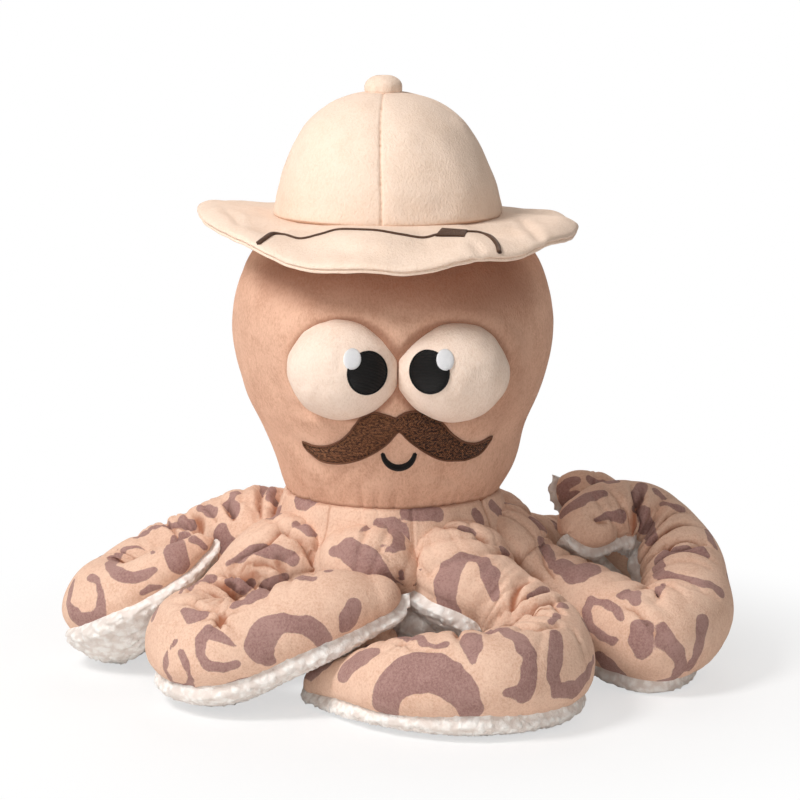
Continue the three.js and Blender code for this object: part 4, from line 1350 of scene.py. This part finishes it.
def dye_print(piece, strokes):
    """Stores how far each corner is inside the nearest stroke, in millimetres, negative outside."""
    points, facing = stored(piece, "co"), stored(piece, "normal")
    depth = np.full(len(points), -deepest_print)
    wander = edge_wander * ripple(points, edge_wander_size, 5)
    for stroke in strokes:
        path, half = stroke["points"], stroke["widths"] / 2
        reach = half.max() + deepest_print
        low, high = path.min(axis=0) - reach, path.max(axis=0) + reach
        near = np.all((points > low) & (points < high), axis=1)
        near &= facing @ stroke["facing"].mean(axis=0) > lowest_agreement
        chosen = points[near]
        most = np.full(len(chosen), -deepest_print)
        for step in range(len(path) - 1):
            run = path[step + 1] - path[step]
            share = np.clip(((chosen - path[step]) @ run) / max(run @ run, tiny), 0, 1)
            brush = half[step] + (half[step + 1] - half[step]) * share
            gap = np.linalg.norm(chosen - path[step] - share[:, None] * run, axis=1)
            most = np.maximum(most, brush - gap)
        depth[near] = np.maximum(depth[near], most)
    dye = piece.data.attributes.new(print_name, "FLOAT", "POINT")
    dye.data.foreach_set("value", ((depth + wander) * 1000).astype(np.float32))


for arm, piece in covers.items():
    cloth = skin_of(piece)
    strokes = [stroke_on(cloth, path) for path in shown_marks[arm]]
    strokes = [stroke for stroke in strokes if len(stroke["points"]) > 1]
    print(arm, "shows", len(strokes), "of", len(shown_marks[arm]), "marks")
    strokes = scatter_marks(piece, cloth, strokes, arm_seed(arm))
    dye_print(piece, strokes)
    print(arm, "has", len(strokes), "marks")
yoke_cloth = skin_of(yoke)
yoke_strokes = [stroke_on(yoke_cloth, path) for path in shown_marks["yoke"]]
dye_print(yoke, scatter_marks(yoke, yoke_cloth, yoke_strokes, 77))

# %% [markdown]
# ## Head
# The head is one bag of tan plush, narrow at the neck, widest under the eyes and closed under the hat. It
# is turned from an outline and then worked: hollows where the eyes press in, soft creases under them, and
# gathers where the bag is sewn to the neck.

# %% Head
head_outline = [(0.0465, 0.0795), (0.0478, 0.082), (0.0515, 0.0898), (0.0582, 0.1095), (0.066, 0.1292),
                (0.071, 0.1513), (0.0692, 0.171), (0.0639, 0.1845), (0.054, 0.1956), (0.0298, 0.203),
                (0, 0.2035)]
eye_middle = (-0.0199, 0.0254)
eye_forward = 0.061
eye_heights = (0.1443, 0.1432)
eye_half = (0.0243, 0.02, 0.022)
neck_gather_pitch = 0.0075
neck_gather_depth = 0.0016
neck_gather_fade = (0.08, 0.1)
neck_shade_fade = (0.0795, 0.0835)
head_swells = [(0.0011, 0.04, 31), (0.0004, 0.014, 32)]
# Shares of painted shade: the hat's shadow on the forehead, the cheek turned from the light, and a ring
# about each eye.
hat_shade = 0.85
hat_shade_rise = (0.145, 0.185)
cheek_shade = 0.5
cheek_shade_across = (0.005, 0.045)
cheek_shade_rise = (0.1, 0.122)
eye_shade = 0.75
eye_shade_edge = (0.98, 1.16)
eye_hollow = 0.0034
eye_hollow_edge = (0.7, 1.14)
eye_rim = 0.0008
eye_rim_place = 1.22
eye_rim_width = 0.12
chin_lean = 0.0019
chin_height = 0.094
chin_half_height = 0.013

bm = turned(smooth_outline(head_outline, 120), 240)
points, radius, angle, height = polar(bm)
gather = valleys((angle + math.pi) * neck_radius, neck_gather_pitch, 30)
gather *= fading(height, *neck_gather_fade)
moved = swelled(points, head_swells) - neck_gather_depth * gather
front = np.cos(angle) > 0
across = points[:, 0] - toy_axis[0]

# %% [markdown]
# Under the eyes the bag is pulled into soft creases. Each row gives the two ends of one, as a place
# across and a height, and its share of the depth and of the width that a full crease has.

# %% Creases of the head
crease_depth = 0.002
crease_width = 0.004
crease_rows = [
    ((-0.045, 0.127), (-0.022, 0.119), 0.9, 0.8), ((0.05, 0.127), (0.028, 0.119), 0.9, 0.8),
    ((-0.05, 0.115), (-0.03, 0.096), 0.55, 0.75), ((0.052, 0.118), (0.034, 0.097), 0.65, 0.75),
    ((0.018, 0.101), (0.03, 0.089), 0.4, 0.625), ((-0.02, 0.1), (-0.028, 0.088), 0.4, 0.625),
    ((-0.036, 0.1245), (-0.012, 0.1235), 0.9, 0.65), ((0.044, 0.1245), (0.02, 0.1225), 0.9, 0.65),
    ((0.012, 0.0975), (0.026, 0.0925), 0.35, 0.5), ((-0.006, 0.098), (-0.016, 0.0905), 0.3, 0.5)]


def crease(start, end, depth, width):
    """A soft groove on the front of the head between two points of [across, height]."""
    start, end = np.array(start), np.array(end)
    here = np.stack([across, height], axis=1)
    run = end - start
    share = np.clip(((here - start) @ run) / (run @ run), 0, 1)
    gap = np.linalg.norm(here - start - share[:, None] * run, axis=1)
    fade = np.sin(math.pi * np.clip(share * 0.8 + 0.1, 0, 1))
    return np.where(front, -depth * bell(gap, width) * fade, 0)


for start, end, depth_share, width_share in crease_rows:
    moved += crease(start, end, depth_share * crease_depth, width_share * crease_width)
print("deepest crease or gather of the head, mm:", round(-1000 * moved.min(), 2))

# %% [markdown]
# The eyes press hollows into the head, each with a low rim. Shade is painted into the head's colour under
# the hat, on the cheek away from the light, about the eyes and in the neck seam, and stored with the
# folds.

# %% Hollows for the eyes, and the painted shade of the head
# Painted shade: the hat's shadow, the shaded right cheek, the neck seam and the hollows about the eyes
# darken the colour.
forward = smoothed(np.cos(angle), 0, 0.7)
shade = hat_shade * forward * smoothed(height + 0.1 * across, *hat_shade_rise)
on_cheek = smoothed(across, *cheek_shade_across) * smoothed(height, *cheek_shade_rise)
shade = np.maximum(shade, cheek_shade * forward * on_cheek)
shade = np.maximum(shade, fading(height, *neck_shade_fade))
for middle, eye_height in zip(eye_middle, eye_heights):
    gap = np.hypot((across - middle) / eye_half[0], (height - eye_height) / eye_half[2])
    moved -= np.where(front, eye_hollow * fading(gap, *eye_hollow_edge), 0)
    moved += np.where(front, eye_rim * bell(gap - eye_rim_place, eye_rim_width), 0)
    shade = np.maximum(shade, np.where(front, eye_shade * fading(gap, *eye_shade_edge), 0))
points += away_from_axis(angle) * moved[:, None]
points[:, 0] += chin_lean * bell(height - chin_height, chin_half_height)
move_to(bm, points)
store_painted_shade(bm, shade)
head = finished("head", bm, tan_plush)
head_skin = skin_of(head)

# %% [markdown]
# ## Eyes
# Each eye is a stuffed ball of cream plush, sewn on so that it bulges. Where the two meet they
# flatten each other and narrow, which makes them egg-shaped. A sphere from the sphere operator is
# scaled, pushed flat at the middle and pinched at its seam to the head.

# %% Eyes
eye_meet = 0.00275
eye_press = 0.0006
eye_narrow = 0.11
eye_swells = [(0.0006, 0.015, 50), (0.00025, 0.006, 60)]


def make_eye(name, middle, eye_height):
    inward = 1 if middle < eye_meet else -1
    bm = bmesh.new()
    bmesh.ops.create_uvsphere(bm, u_segments=96, v_segments=64, radius=1)
    bmesh.ops.rotate(bm, verts=bm.verts, cent=(0, 0, 0), matrix=Matrix.Rotation(math.pi / 2, 3, "X"))
    unit = places_in(bm)
    towards = unit[:, 0] * inward
    unit[:, 2] *= 1 - eye_narrow * smoothed(towards, -0.2, 1)
    points = placed(middle + unit[:, 0] * eye_half[0], -eye_forward + unit[:, 1] * eye_half[1],
                    eye_height + unit[:, 2] * eye_half[2])
    swell = swelled(points, [(depth, size, seed + inward) for depth, size, seed in eye_swells])
    points += unit * swell[:, None]
    wall = toy_axis[0] + eye_meet - inward * eye_press / 2
    beyond = (points[:, 0] - wall) * inward
    points[:, 0] -= np.where(beyond > 0, beyond * inward, 0)
    move_to(bm, points)
    return finished(name, bm, eye_plush)


eyes = {side: make_eye(f"eye_ball_{side}", middle, eye_height)
        for side, middle, eye_height in zip(("left", "right"), eye_middle, eye_heights)}

# %% [markdown]
# Pupils, highlights, moustache and smile are embroidery. Each is a thin pad of thread that follows
# what it is sewn on. A flat disc or outline is laid on the surface from the front, thickest in its
# middle, and a cord of thread runs round its edge. Its UV map is its own flat shape in metres, so
# the stitches keep their width.

# %% Embroidery helpers
pad_height = 0.0011
pad_sink = 0.0012
well_in_front = 1
cord_corners = 10
cord_up = (0.02, -1, 0.05)
cord_end_shrink = 0.7
cord_end_push = 0.6


def laid(surface, x, z, lift):
    """Points seen from the front at [x, z] from the toy's axis, on a surface and lifted off it."""
    places = []
    for here_x, here_z, here_lift in zip(x, z, lift):
        start = Vector((here_x + toy_axis[0], -well_in_front, here_z))
        place, normal, _, _ = surface.ray_cast(start, Vector((0, 1, 0)))
        missed = start + Vector((0, well_in_front - eye_forward, 0))
        places.append(place + normal * here_lift if place else missed)
    return np.array(places)


def map_thread(piece, flat=None):
    """Gives a piece a UV map in metres: flat positions of its corners, or its view from the front."""
    mesh = piece.data
    flat = stored(piece, "co")[:, [0, 2]] if flat is None else flat
    uv = mesh.uv_layers.new(name="thread")
    numbers = np.empty(len(mesh.loops), int)
    mesh.loops.foreach_get("vertex_index", numbers)
    uv.data.foreach_set("uv", flat[numbers].astype(np.float32).ravel())


def embroidered_pad(name, outline, surface, finish, height, rings=14):
    """A pad of thread that fills an outline of [x, z], domed over a surface."""
    outline = np.array(outline, float)
    middle = outline.mean(axis=0)
    bm, ring, corner = straight_tube(len(outline), rings + 3)
    share = np.clip(ring / rings, 0, 1)
    flat = middle + (outline[corner] - middle) * share[:, None]
    dome = np.clip(1 - share ** 3, 0, 1) ** 0.5
    lift = np.where(ring <= rings, height * (0.25 + 0.75 * dome), -pad_sink)
    lift = np.where(ring > rings + 1, -pad_sink, lift)
    shrunk = np.where(ring > rings + 1, 0, 1)[:, None]
    flat = middle + (flat - middle) * shrunk
    move_to(bm, laid(surface, flat[:, 0], flat[:, 1], lift))
    piece = finished(name, bm, finish)
    map_thread(piece)
    return piece


def cord_along(name, path, radius, finish, closed=False):
    """A round cord of thread along points in space. The radius is one length, or one for each."""
    path = np.array(path, float)
    radius = np.broadcast_to(np.asarray(radius, float), (len(path),))
    if closed:
        path, radius = np.vstack([path, path[:1]]), np.append(radius, radius[0])
    along = np.gradient(path, axis=0)
    if closed:
        along[0] = along[-1] = along[0] + along[-1]
    along /= np.linalg.norm(along, axis=1)[:, None]
    side = np.cross(along, cord_up)
    side /= np.linalg.norm(side, axis=1)[:, None]
    out = np.cross(side, along)
    ends = 0 if closed else 2
    bm, ring, corner = straight_tube(cord_corners, len(path) + 2 * ends)
    at = np.clip(ring - ends, 0, len(path) - 1)
    shrink, push = np.ones(len(ring)), np.zeros(len(ring))
    if not closed:
        last = len(path) + 2 * ends - 1
        shrink[(ring == 1) | (ring == last - 1)] = cord_end_shrink
        shrink[(ring == 0) | (ring == last)] = 0
        push[ring == 0], push[ring == last] = -cord_end_push, cord_end_push
    turn = corner / cord_corners * full_turn
    reach = (radius[at] * shrink)[:, None]
    points = path[at] + reach * (np.cos(turn)[:, None] * side[at] + np.sin(turn)[:, None] * out[at])
    points += (push * radius[at])[:, None] * along[at]
    move_to(bm, points)
    layer = bm.verts.layers.float_vector.new("thread_place")
    for vertex, length, round_length in zip(bm.verts, travel_along(path)[at], turn * radius[at]):
        vertex[layer] = (length, round_length, 0)
    piece = finished(name, bm, finish)
    map_thread(piece, np.array([value.vector[:2] for value in piece.data.attributes["thread_place"].data]))
    return piece


def oval(middle, half, count=48):
    turns = np.linspace(0, full_turn, count, endpoint=False)
    return np.stack([middle[0] + half[0] * np.cos(turns), middle[1] + half[1] * np.sin(turns)], axis=1)


# %% Pupils and highlights
pupil_half = (0.0079, 0.0087)
pupil_middles = {"left": (-0.0102, 0.1452), "right": (0.016, 0.1455)}
highlight_half = (0.0038, 0.0044)
highlight_middles = {"left": (-0.0163, 0.1512), "right": (0.0224, 0.1508)}
border_radius = 0.0005
stitched = {}

for side, eye in eyes.items():
    ball = skin_of(eye)
    stitched[f"pupil_{side}"] = embroidered_pad(
        f"pupil_stitches_{side}", oval(pupil_middles[side], pupil_half), ball, black_thread, pad_height)
    edge = oval(pupil_middles[side], pupil_half, 72)
    ring = laid(ball, edge[:, 0], edge[:, 1], np.full(len(edge), pad_height * 0.3))
    stitched[f"border_{side}"] = cord_along(
        f"pupil_border_{side}", ring, border_radius, black_thread, closed=True)
    stitched[f"highlight_{side}"] = embroidered_pad(
        f"highlight_stitches_{side}", oval(highlight_middles[side], highlight_half, 32), ball,
        white_thread, pad_height * 1.5, rings=8)

# %% Moustache and smile
moustache_outline = [
    (396, 418), (384, 414.5), (372, 413), (362, 418), (354, 427), (348, 434), (341, 440), (333, 444),
    (324, 446), (313, 445), (303.5, 441.5), (307, 448), (313, 453.5), (320, 459), (328, 462), (338, 463),
    (348, 462), (360, 459), (372, 453.5), (381, 448), (389, 441.5), (394.5, 435), (399, 431),
    (407, 438.5), (415, 445), (426, 452.5), (437, 458), (446, 460), (456, 460), (464, 459.5),
    (471.5, 457), (479, 453), (484.5, 447), (491, 436), (483, 440.5), (476, 443), (469, 443),
    (463, 441.5), (456, 437), (450, 432), (443.5, 425), (437, 419), (430, 414.5), (422, 412),
    (413, 411.5), (404, 413)]
smile_path = [(382.6, 453.5), (384.5, 459), (388.5, 464), (394, 467), (399, 467.6), (404.5, 466.5),
              (409.5, 463.5), (413, 459), (415.1, 453.5)]
smile_radius = (0.0009, 0.0016)
smile_lift = 0.0001
smile_points = 40
moustache_points = 150
border_height = 0.0006
border_cord_radius = 0.00045
longest_side = 0.0022
fill_edge_height = 0.0004
fill_dome_height = 0.0006
fill_dome_reach = 0.0025


def from_picture(surface, path, lift):
    """Points of the picture laid on a surface and lifted off it."""
    places = []
    for column, row in path:
        place, normal = seen_point(surface, column, row)
        if place is not None:
            places.append(place + normal * lift)
    return np.array(places)


moustache_course = eased(moustache_outline, moustache_points, closed=True)
moustache_edge = from_picture(head_skin, moustache_course, 0)
hairs = cord_along("moustache_border", from_picture(head_skin, moustache_course, border_height),
                   border_cord_radius, cord_thread, closed=True)


def make_moustache():
    """The fill is a triangulated outline, cut into small faces and domed from its edge inwards."""
    bm = bmesh.new()
    bmesh.ops.create_circle(bm, segments=len(moustache_edge), radius=1, cap_ends=True)
    for vertex, point in zip(bm.verts, moustache_edge):
        vertex.co = (point[0], 0, point[2])
    bmesh.ops.triangulate(bm, faces=bm.faces[:])
    for _ in range(3):
        long_edges = [e for e in bm.edges if e.calc_length() > longest_side]
        bmesh.ops.subdivide_edges(bm, edges=long_edges, cuts=1, use_grid_fill=True)
        bmesh.ops.triangulate(bm, faces=bm.faces[:])
    points = places_in(bm)
    apart = points[:, None] - moustache_edge[None]
    gap = np.hypot(apart[:, :, 0], apart[:, :, 2]).min(axis=1)
    dome = fill_edge_height + fill_dome_height * smoothed(gap, 0, fill_dome_reach)
    move_to(bm, laid(head_skin, points[:, 0] - toy_axis[0], points[:, 2], dome))
    made = bmesh.ops.extrude_face_region(bm, geom=bm.faces[:])
    back = [item for item in made["geom"] if isinstance(item, bmesh.types.BMVert)]
    bmesh.ops.translate(bm, verts=back, vec=(0, pad_sink * 1.6, 0))
    piece = finished("moustache_fill", bm, brown_thread)
    map_thread(piece)
    return piece


moustache = make_moustache()
thin, thick = smile_radius
smile_thick = thin + (thick - thin) * np.sin(np.linspace(0, math.pi, smile_points))
smile = cord_along("smile_stitches", from_picture(head_skin, eased(smile_path, smile_points), smile_lift),
                   smile_thick, black_thread)

# %% [markdown]
# ## Hat
# The crown is four gores of short plush sewn edge to edge and stuffed. Each seam sinks, and the
# cloth puckers a little along it. The shape is turned first; then every corner near a seam moves in.

# %% Hat crown
hat_shift = -0.0017
hat_axis = placed(hat_shift, 0, 0)
crown_radius = 0.0503
crown_base = 0.2036
crown_top = 0.257
crown_rows = [(0.9, -0.03), (1, 0), (0.988, 0.12), (0.965, 0.25), (0.892, 0.47), (0.757, 0.69),
              (0.64, 0.805), (0.46, 0.915), (0.26, 0.985), (0, 1.015)]
crown_lean = -0.0015
crown_seam_angles = [math.radians(a) for a in (-3, 87, 177, -93)]
seam_sink = 0.0009
seam_width = 0.0008
seam_crowding = 0.78
seam_stitch_pitch = 0.0032
pucker_reach = 0.004
seam_pucker = 0.0005
crown_swells = [(0.0008, 0.03, 11), (0.0003, 0.01, 13)]
gore_swell = 0.0007
gore_edge = (0.01, 0.04)
crown_rise = 0.35
crown_shade_height = 0.0012

crown_outline = [(r * crown_radius, crown_base + h * (crown_top - crown_base)) for r, h in crown_rows]
bm = turned(smooth_outline(crown_outline, 110), 260, hat_axis)
points, radius, angle, height = polar(bm, hat_axis)
gores = len(crown_seam_angles)
angle = angle - seam_crowding / gores * np.sin(gores * (angle - crown_seam_angles[0]))
points[:, 0], points[:, 1] = hat_axis[0] + radius * np.sin(angle), hat_axis[1] - radius * np.cos(angle)
from_seam = nearest_seam(angle, crown_seam_angles) * radius
stitches = 0.7 + 0.6 * valleys(height, seam_stitch_pitch, 12)
seam = bell(from_seam, seam_width)
moved = -seam_sink * seam * stitches - seam_pucker * bell(from_seam, pucker_reach)
moved += swelled(points, crown_swells)
gore_middle = np.cos(gores * (angle - crown_seam_angles[0]) - math.pi)
moved += gore_swell * gore_middle * smoothed(radius, *gore_edge)
points[:, 0] += crown_lean * smoothed(height, crown_base, crown_top)
move_to(bm, points + away_from_axis(angle, crown_rise) * moved[:, None])
# Painted shade in the seams and along the foot of the crown, beside the brim.
crown_foot_shade = fading(height, crown_base, crown_base + crown_shade_height)
store_painted_shade(bm, np.maximum(0.75 * seam * stitches, 0.8 * crown_foot_shade))
crown = finished("hat_crown", bm, hat_plush)

# %% Hat button
button_radius = 0.0084
button_half_height = 0.0058
button_place = 0.2588
button_shift = -0.0019
button_tucks = 7
dimple_depth = 0.0016
dimple_width = 0.2
knot_half = (0.0011, 0.0009, 0.0007)
knot_forward = 0.0004
knot_sink = 0.0015

bm = bmesh.new()
bmesh.ops.create_uvsphere(bm, u_segments=72, v_segments=40, radius=1)
unit = places_in(bm)
turn = np.arctan2(unit[:, 1], unit[:, 0])
spread = np.hypot(unit[:, 0], unit[:, 1])
tucks = np.abs(np.cos(turn * (button_tucks / 2))) ** 6
tucks *= smoothed(spread, 0.15, 0.7) * fading(unit[:, 2], -0.6, 0.95)
dimple = np.where(unit[:, 2] > 0, bell(spread, dimple_width), 0)
scale = 1 - 0.05 * tucks + 0.06 * np.abs(unit[:, 2]) * spread
points = unit * scale[:, None] * np.array([button_radius, button_radius, button_half_height])
points[:, 2] -= dimple * dimple_depth
points += hat_axis + np.array([button_shift, 0, button_place])
move_to(bm, points)
button = finished("hat_covered_button", bm, hat_plush)

bm = bmesh.new()
bmesh.ops.create_uvsphere(bm, u_segments=20, v_segments=12, radius=1)
knot_height = button_place + button_half_height - knot_sink
knot_place = hat_axis + np.array([button_shift, -knot_forward, knot_height])
bmesh.ops.scale(bm, verts=bm.verts, vec=knot_half)
bmesh.ops.translate(bm, verts=bm.verts, vec=knot_place)
knot = finished("hat_button_knot", bm, strap_thread)
map_thread(knot, stored(knot, "co")[:, :2])

# %% [markdown]
# The brim is two rings of the same cloth, sewn together round the edge and turned, so the edge is
# soft and doubled. It droops at the front and back, stays nearly level at the sides, and its edge
# waves. Each row of the table gives an angle from the front and the height of the edge there.

# %% Hat brim
brim_radius = 0.084
brim_front_reach = 0.0042
brim_layer = 0.0021
brim_base = 0.2034
brim_curl_reach = 0.009
brim_edge_rows = [
    (-180, -0.012), (-150, -0.009), (-120, -0.001), (-90, 0.004), (-75, 0.003), (-60, 0),
    (-45, -0.0045), (-37, -0.0068), (-25, -0.0125), (-12, -0.0119), (0, -0.0114), (13, -0.0124),
    (25, -0.0078), (35, -0.0085), (45, -0.0078), (60, -0.0056), (75, -0.0046), (90, -0.0052),
    (120, -0.006), (150, -0.011), (180, -0.012)]
brim_angles = 320
brim_rings = 34
brim_softness = 4
brim_curl = (0.001, 0.0028)


def brim_edge(angle):
    return brim_radius + brim_front_reach * np.cos(angle) ** 2


def brim_lift(radius, angle):
    """The height of the brim's middle. Its edge follows the table and curls down, most at the sides."""
    degrees = (np.degrees(angle) + 180) % 360 - 180
    edge = sum(np.interp((degrees + step + 180) % 360 - 180, *zip(*brim_edge_rows))
               for step in (-brim_softness, 0, brim_softness)) / 3
    out = np.clip((radius - crown_radius) / (brim_edge(angle) - crown_radius), 0, 1.05)
    curl = brim_curl[0] + brim_curl[1] * np.sin(angle) ** 2
    curled = np.clip((radius - brim_edge(angle) + brim_curl_reach) / brim_curl_reach, 0, 1) ** 2
    return brim_base + out ** 1.15 * (edge + curl) - curl * curled


# %% [markdown]
# The strap was stitched on as an even ring while the cloth lay flat. Where the photograph shows it
# high, the cloth must be in a wave, so the strap's picture points say how high the waves are.

# %% Waves of the brim
strap_path = [(258, 244), (264, 239.5), (271, 235), (284, 235), (300, 239), (319, 235), (338, 230),
              (358, 230), (378, 231), (402, 235), (424, 238), (437, 235), (452, 233), (466, 232),
              (480, 233), (491, 238), (497, 245), (499, 253)]
strap_ring = 0.0665
strap_ends = 2
wave_half_width = 0.011
wave_fade = math.radians(14)


def ring_height(column, row):
    """The angle and height where the line of sight through a point meets the strap's ring."""
    ray = np.array(picture_ray(column, row))
    start = (camera_place - hat_axis)[:2]
    square, half, rest = ray[:2] @ ray[:2], ray[:2] @ start, start @ start - strap_ring ** 2
    length = (-half - math.sqrt(half * half - square * rest)) / square
    place = camera_place + length * ray - hat_axis
    return math.atan2(place[0], -place[1]), place[2]


shown_strap = strap_path[strap_ends:-strap_ends]
ring_angles, ring_heights = np.array([ring_height(*point) for point in shown_strap]).T
wave_heights = ring_heights - brim_lift(np.full(len(ring_angles), strap_ring), ring_angles)
print("waves of the brim, mm:", np.round(wave_heights * 1000, 1))


def brim_wave(radius, angle):
    turn = (angle + math.pi) % full_turn - math.pi
    beside = (ring_angles[0] - wave_fade, *ring_angles, ring_angles[-1] + wave_fade)
    height = np.interp(turn, beside, (0, *wave_heights, 0))
    return height * bell(radius - strap_ring, wave_half_width)


# %% Layers of the brim
top_end = 0.42
under_start = 0.58
brim_swells = [(0.0011, 0.022, 21), (0.0003, 0.008, 22)]
brim_still_reach = 0.012
brim_tuck = 0.004
under_inset = 0.0006
brim_pulls = [
    ([(521, 220), (533, 231), (538, 238)], 0.4, 1.1), ([(474, 243), (479, 252)], 0.3, 1),
    ([(226, 209), (234, 216), (239, 224)], 0.3, 1.1), ([(330, 246), (352, 252), (372, 250)], 0.225, 1.5)]


def make_brim_layer(name, top_offset, reach, inner_radius):
    """A ring with a rounded outer edge: out along its top, round the edge and back underneath."""
    bm, ring, corner = straight_tube(brim_rings * 2, brim_angles + 1)
    share = corner / (brim_rings * 2)
    angle = ring / brim_angles * full_turn
    edge = brim_edge(angle) + reach
    roll = brim_layer / 2
    flat_run = edge - inner_radius - roll
    top = np.clip(share / top_end, 0, 1)
    under = np.clip((share - under_start) / (1 - under_start), 0, 1)
    curve = np.clip((share - top_end) / (under_start - top_end), 0, 1) * math.pi
    radius = inner_radius + flat_run * np.where(share < top_end, top, 1 - under)
    radius += roll * np.sin(curve)
    drop = roll * (1 - np.cos(curve))
    middle = brim_lift(radius, angle) + brim_wave(radius, angle)
    x = hat_axis[0] + radius * np.sin(angle)
    y = hat_axis[1] - radius * np.cos(angle)
    points = np.stack([x, y, middle - drop + top_offset], axis=1)
    soft = swelled(np.stack([x, y, middle], axis=1), brim_swells)
    points[:, 2] += soft * smoothed(radius, crown_radius, crown_radius + brim_still_reach)
    move_to(bm, points)
    points, shade = held_down(bm, points, brim_pulls, np.zeros(len(points)))
    move_to(bm, points)
    # Painted shade where the gathers pull the brim in.
    store_painted_shade(bm, 0.6 * shade)
    return finished(name, bm, hat_plush)


brim_top = make_brim_layer("hat_brim_upper_cloth", 0, 0, crown_radius - brim_tuck)
brim_under = make_brim_layer("hat_brim_lower_cloth", -brim_layer, -under_inset, crown_radius - brim_tuck)
brim_skin = skin_of(brim_top)

# %% [markdown]
# The strap is a run of thread along the brim, with a bar at each end, and the buckle is a zigzag of
# the same thread between two of its edges. Both are cords laid on the upper cloth from the camera.

# %% Strap and buckle
buckle_corners = ((436.5, 236.6), (442.5, 229.6), (466.5, 231.4), (463, 237))
buckle_stitches = 26
strap_radius = 0.0006
strap_end_radius = 0.0011
strap_end_shares = (0.06, 0.11)
strap_points = 220
strap_lift = 0.0002
buckle_lift = 0.0004
buckle_thread_radius = 0.0005

path = from_picture(brim_skin, eased(strap_path, strap_points), strap_lift)
print("strap length, mm:", round(1000 * travel_along(path)[-1]))
place = np.arange(len(path))
from_end = np.minimum(place, len(path) - 1 - place) / len(path)
thicker = (strap_end_radius - strap_radius) * fading(from_end, *strap_end_shares)
strap = cord_along("hat_strap", path, strap_radius + thicker, strap_thread)
low_left, high_left, high_right, low_right = (np.array(corner) for corner in buckle_corners)
zigzag = []
for stitch in range(buckle_stitches):
    share = stitch / (buckle_stitches - 1)
    ends = [low_left + (low_right - low_left) * share, high_left + (high_right - high_left) * share]
    zigzag += ends if stitch % 2 else ends[::-1]
buckle = cord_along("hat_buckle_stitches", from_picture(brim_skin, zigzag, buckle_lift),
                    buckle_thread_radius, strap_thread)

# %% [markdown]
# ## Joining the pieces to the model
# Each piece hides the solids it stands for. The arms' covers cross the joint at the root and keep their
# places in their meshes; everything else rides on the body.

# %% Rides and replacements
blend_aims = {
    "arm_front": (0.3, -0.95), "arm_front_right": (0.566, -0.824), "arm_right": (0.985, -0.174),
    "arm_back_right": (0.819, 0.574), "arm_back": (0.174, 0.985), "arm_back_left": (-0.559, 0.829),
    "arm_left": (-0.982, 0.19), "arm_front_left": (-0.45, -0.89)}
blend_ends = {"arm_front": (0.044, 0.054, 0.062, 0.04), "arm_front_left": (0.04, 0.054, 0.06, 0.044)}
usual_ends = (0.048, 0.06, 0.06, 0.044)

for arm in arm_rows:
    aim_x, aim_y = blend_aims[arm]
    near, far, high, low = blend_ends.get(arm, usual_ends)
    start, end = placed(aim_x * near, aim_y * near, high), placed(aim_x * far, aim_y * far, low)
    for piece in (covers[arm], undersides[arm]):
        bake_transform(piece)
    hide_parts(f"{arm}_cover", f"{arm}_stuffing", f"{arm}_elastic")
    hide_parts(f"{arm}_underside")

stands_for = [
    (belly, ["belly_cover", "body_stuffing"], "sherpa"),
    (yoke, ["yoke"], "printed_plush"),
    (head, ["head_skin"], "tan_plush"),
    (eyes["left"], ["eye_left"], "eye_plush"),
    (eyes["right"], ["eye_right"], "eye_plush"),
    (stitched["pupil_left"], ["pupil_left"], "black_thread"),
    (stitched["highlight_left"], ["highlight_left"], "white_thread"),
    (stitched["pupil_right"], ["pupil_right"], "black_thread"),
    (stitched["highlight_right"], ["highlight_right"], "white_thread"),
    (stitched["border_left"], [], "black_thread"),
    (stitched["border_right"], [], "black_thread"),
    (hairs, [], "brown_thread"),
    (moustache, ["moustache"], "brown_thread"),
    (smile, ["smile"], "black_thread"),
    (crown, ["hat_crown_front_left", "hat_crown_front_right", "hat_crown_back_left",
             "hat_crown_back_right", "hat_stuffing"], "hat_plush"),
    (button, ["hat_button"], "hat_plush"),
    (knot, [], "brown_thread"),
    (brim_top, ["hat_brim_top"], "hat_plush"),
    (brim_under, ["hat_brim_underside"], "hat_plush"),
    (strap, ["hat_strap_left", "hat_strap_right"], "brown_thread"),
    (buckle, ["hat_buckle"], "brown_thread"),
]
for piece, nodes, slot in stands_for:
    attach(piece, "body")
    if nodes:
        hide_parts(*nodes)
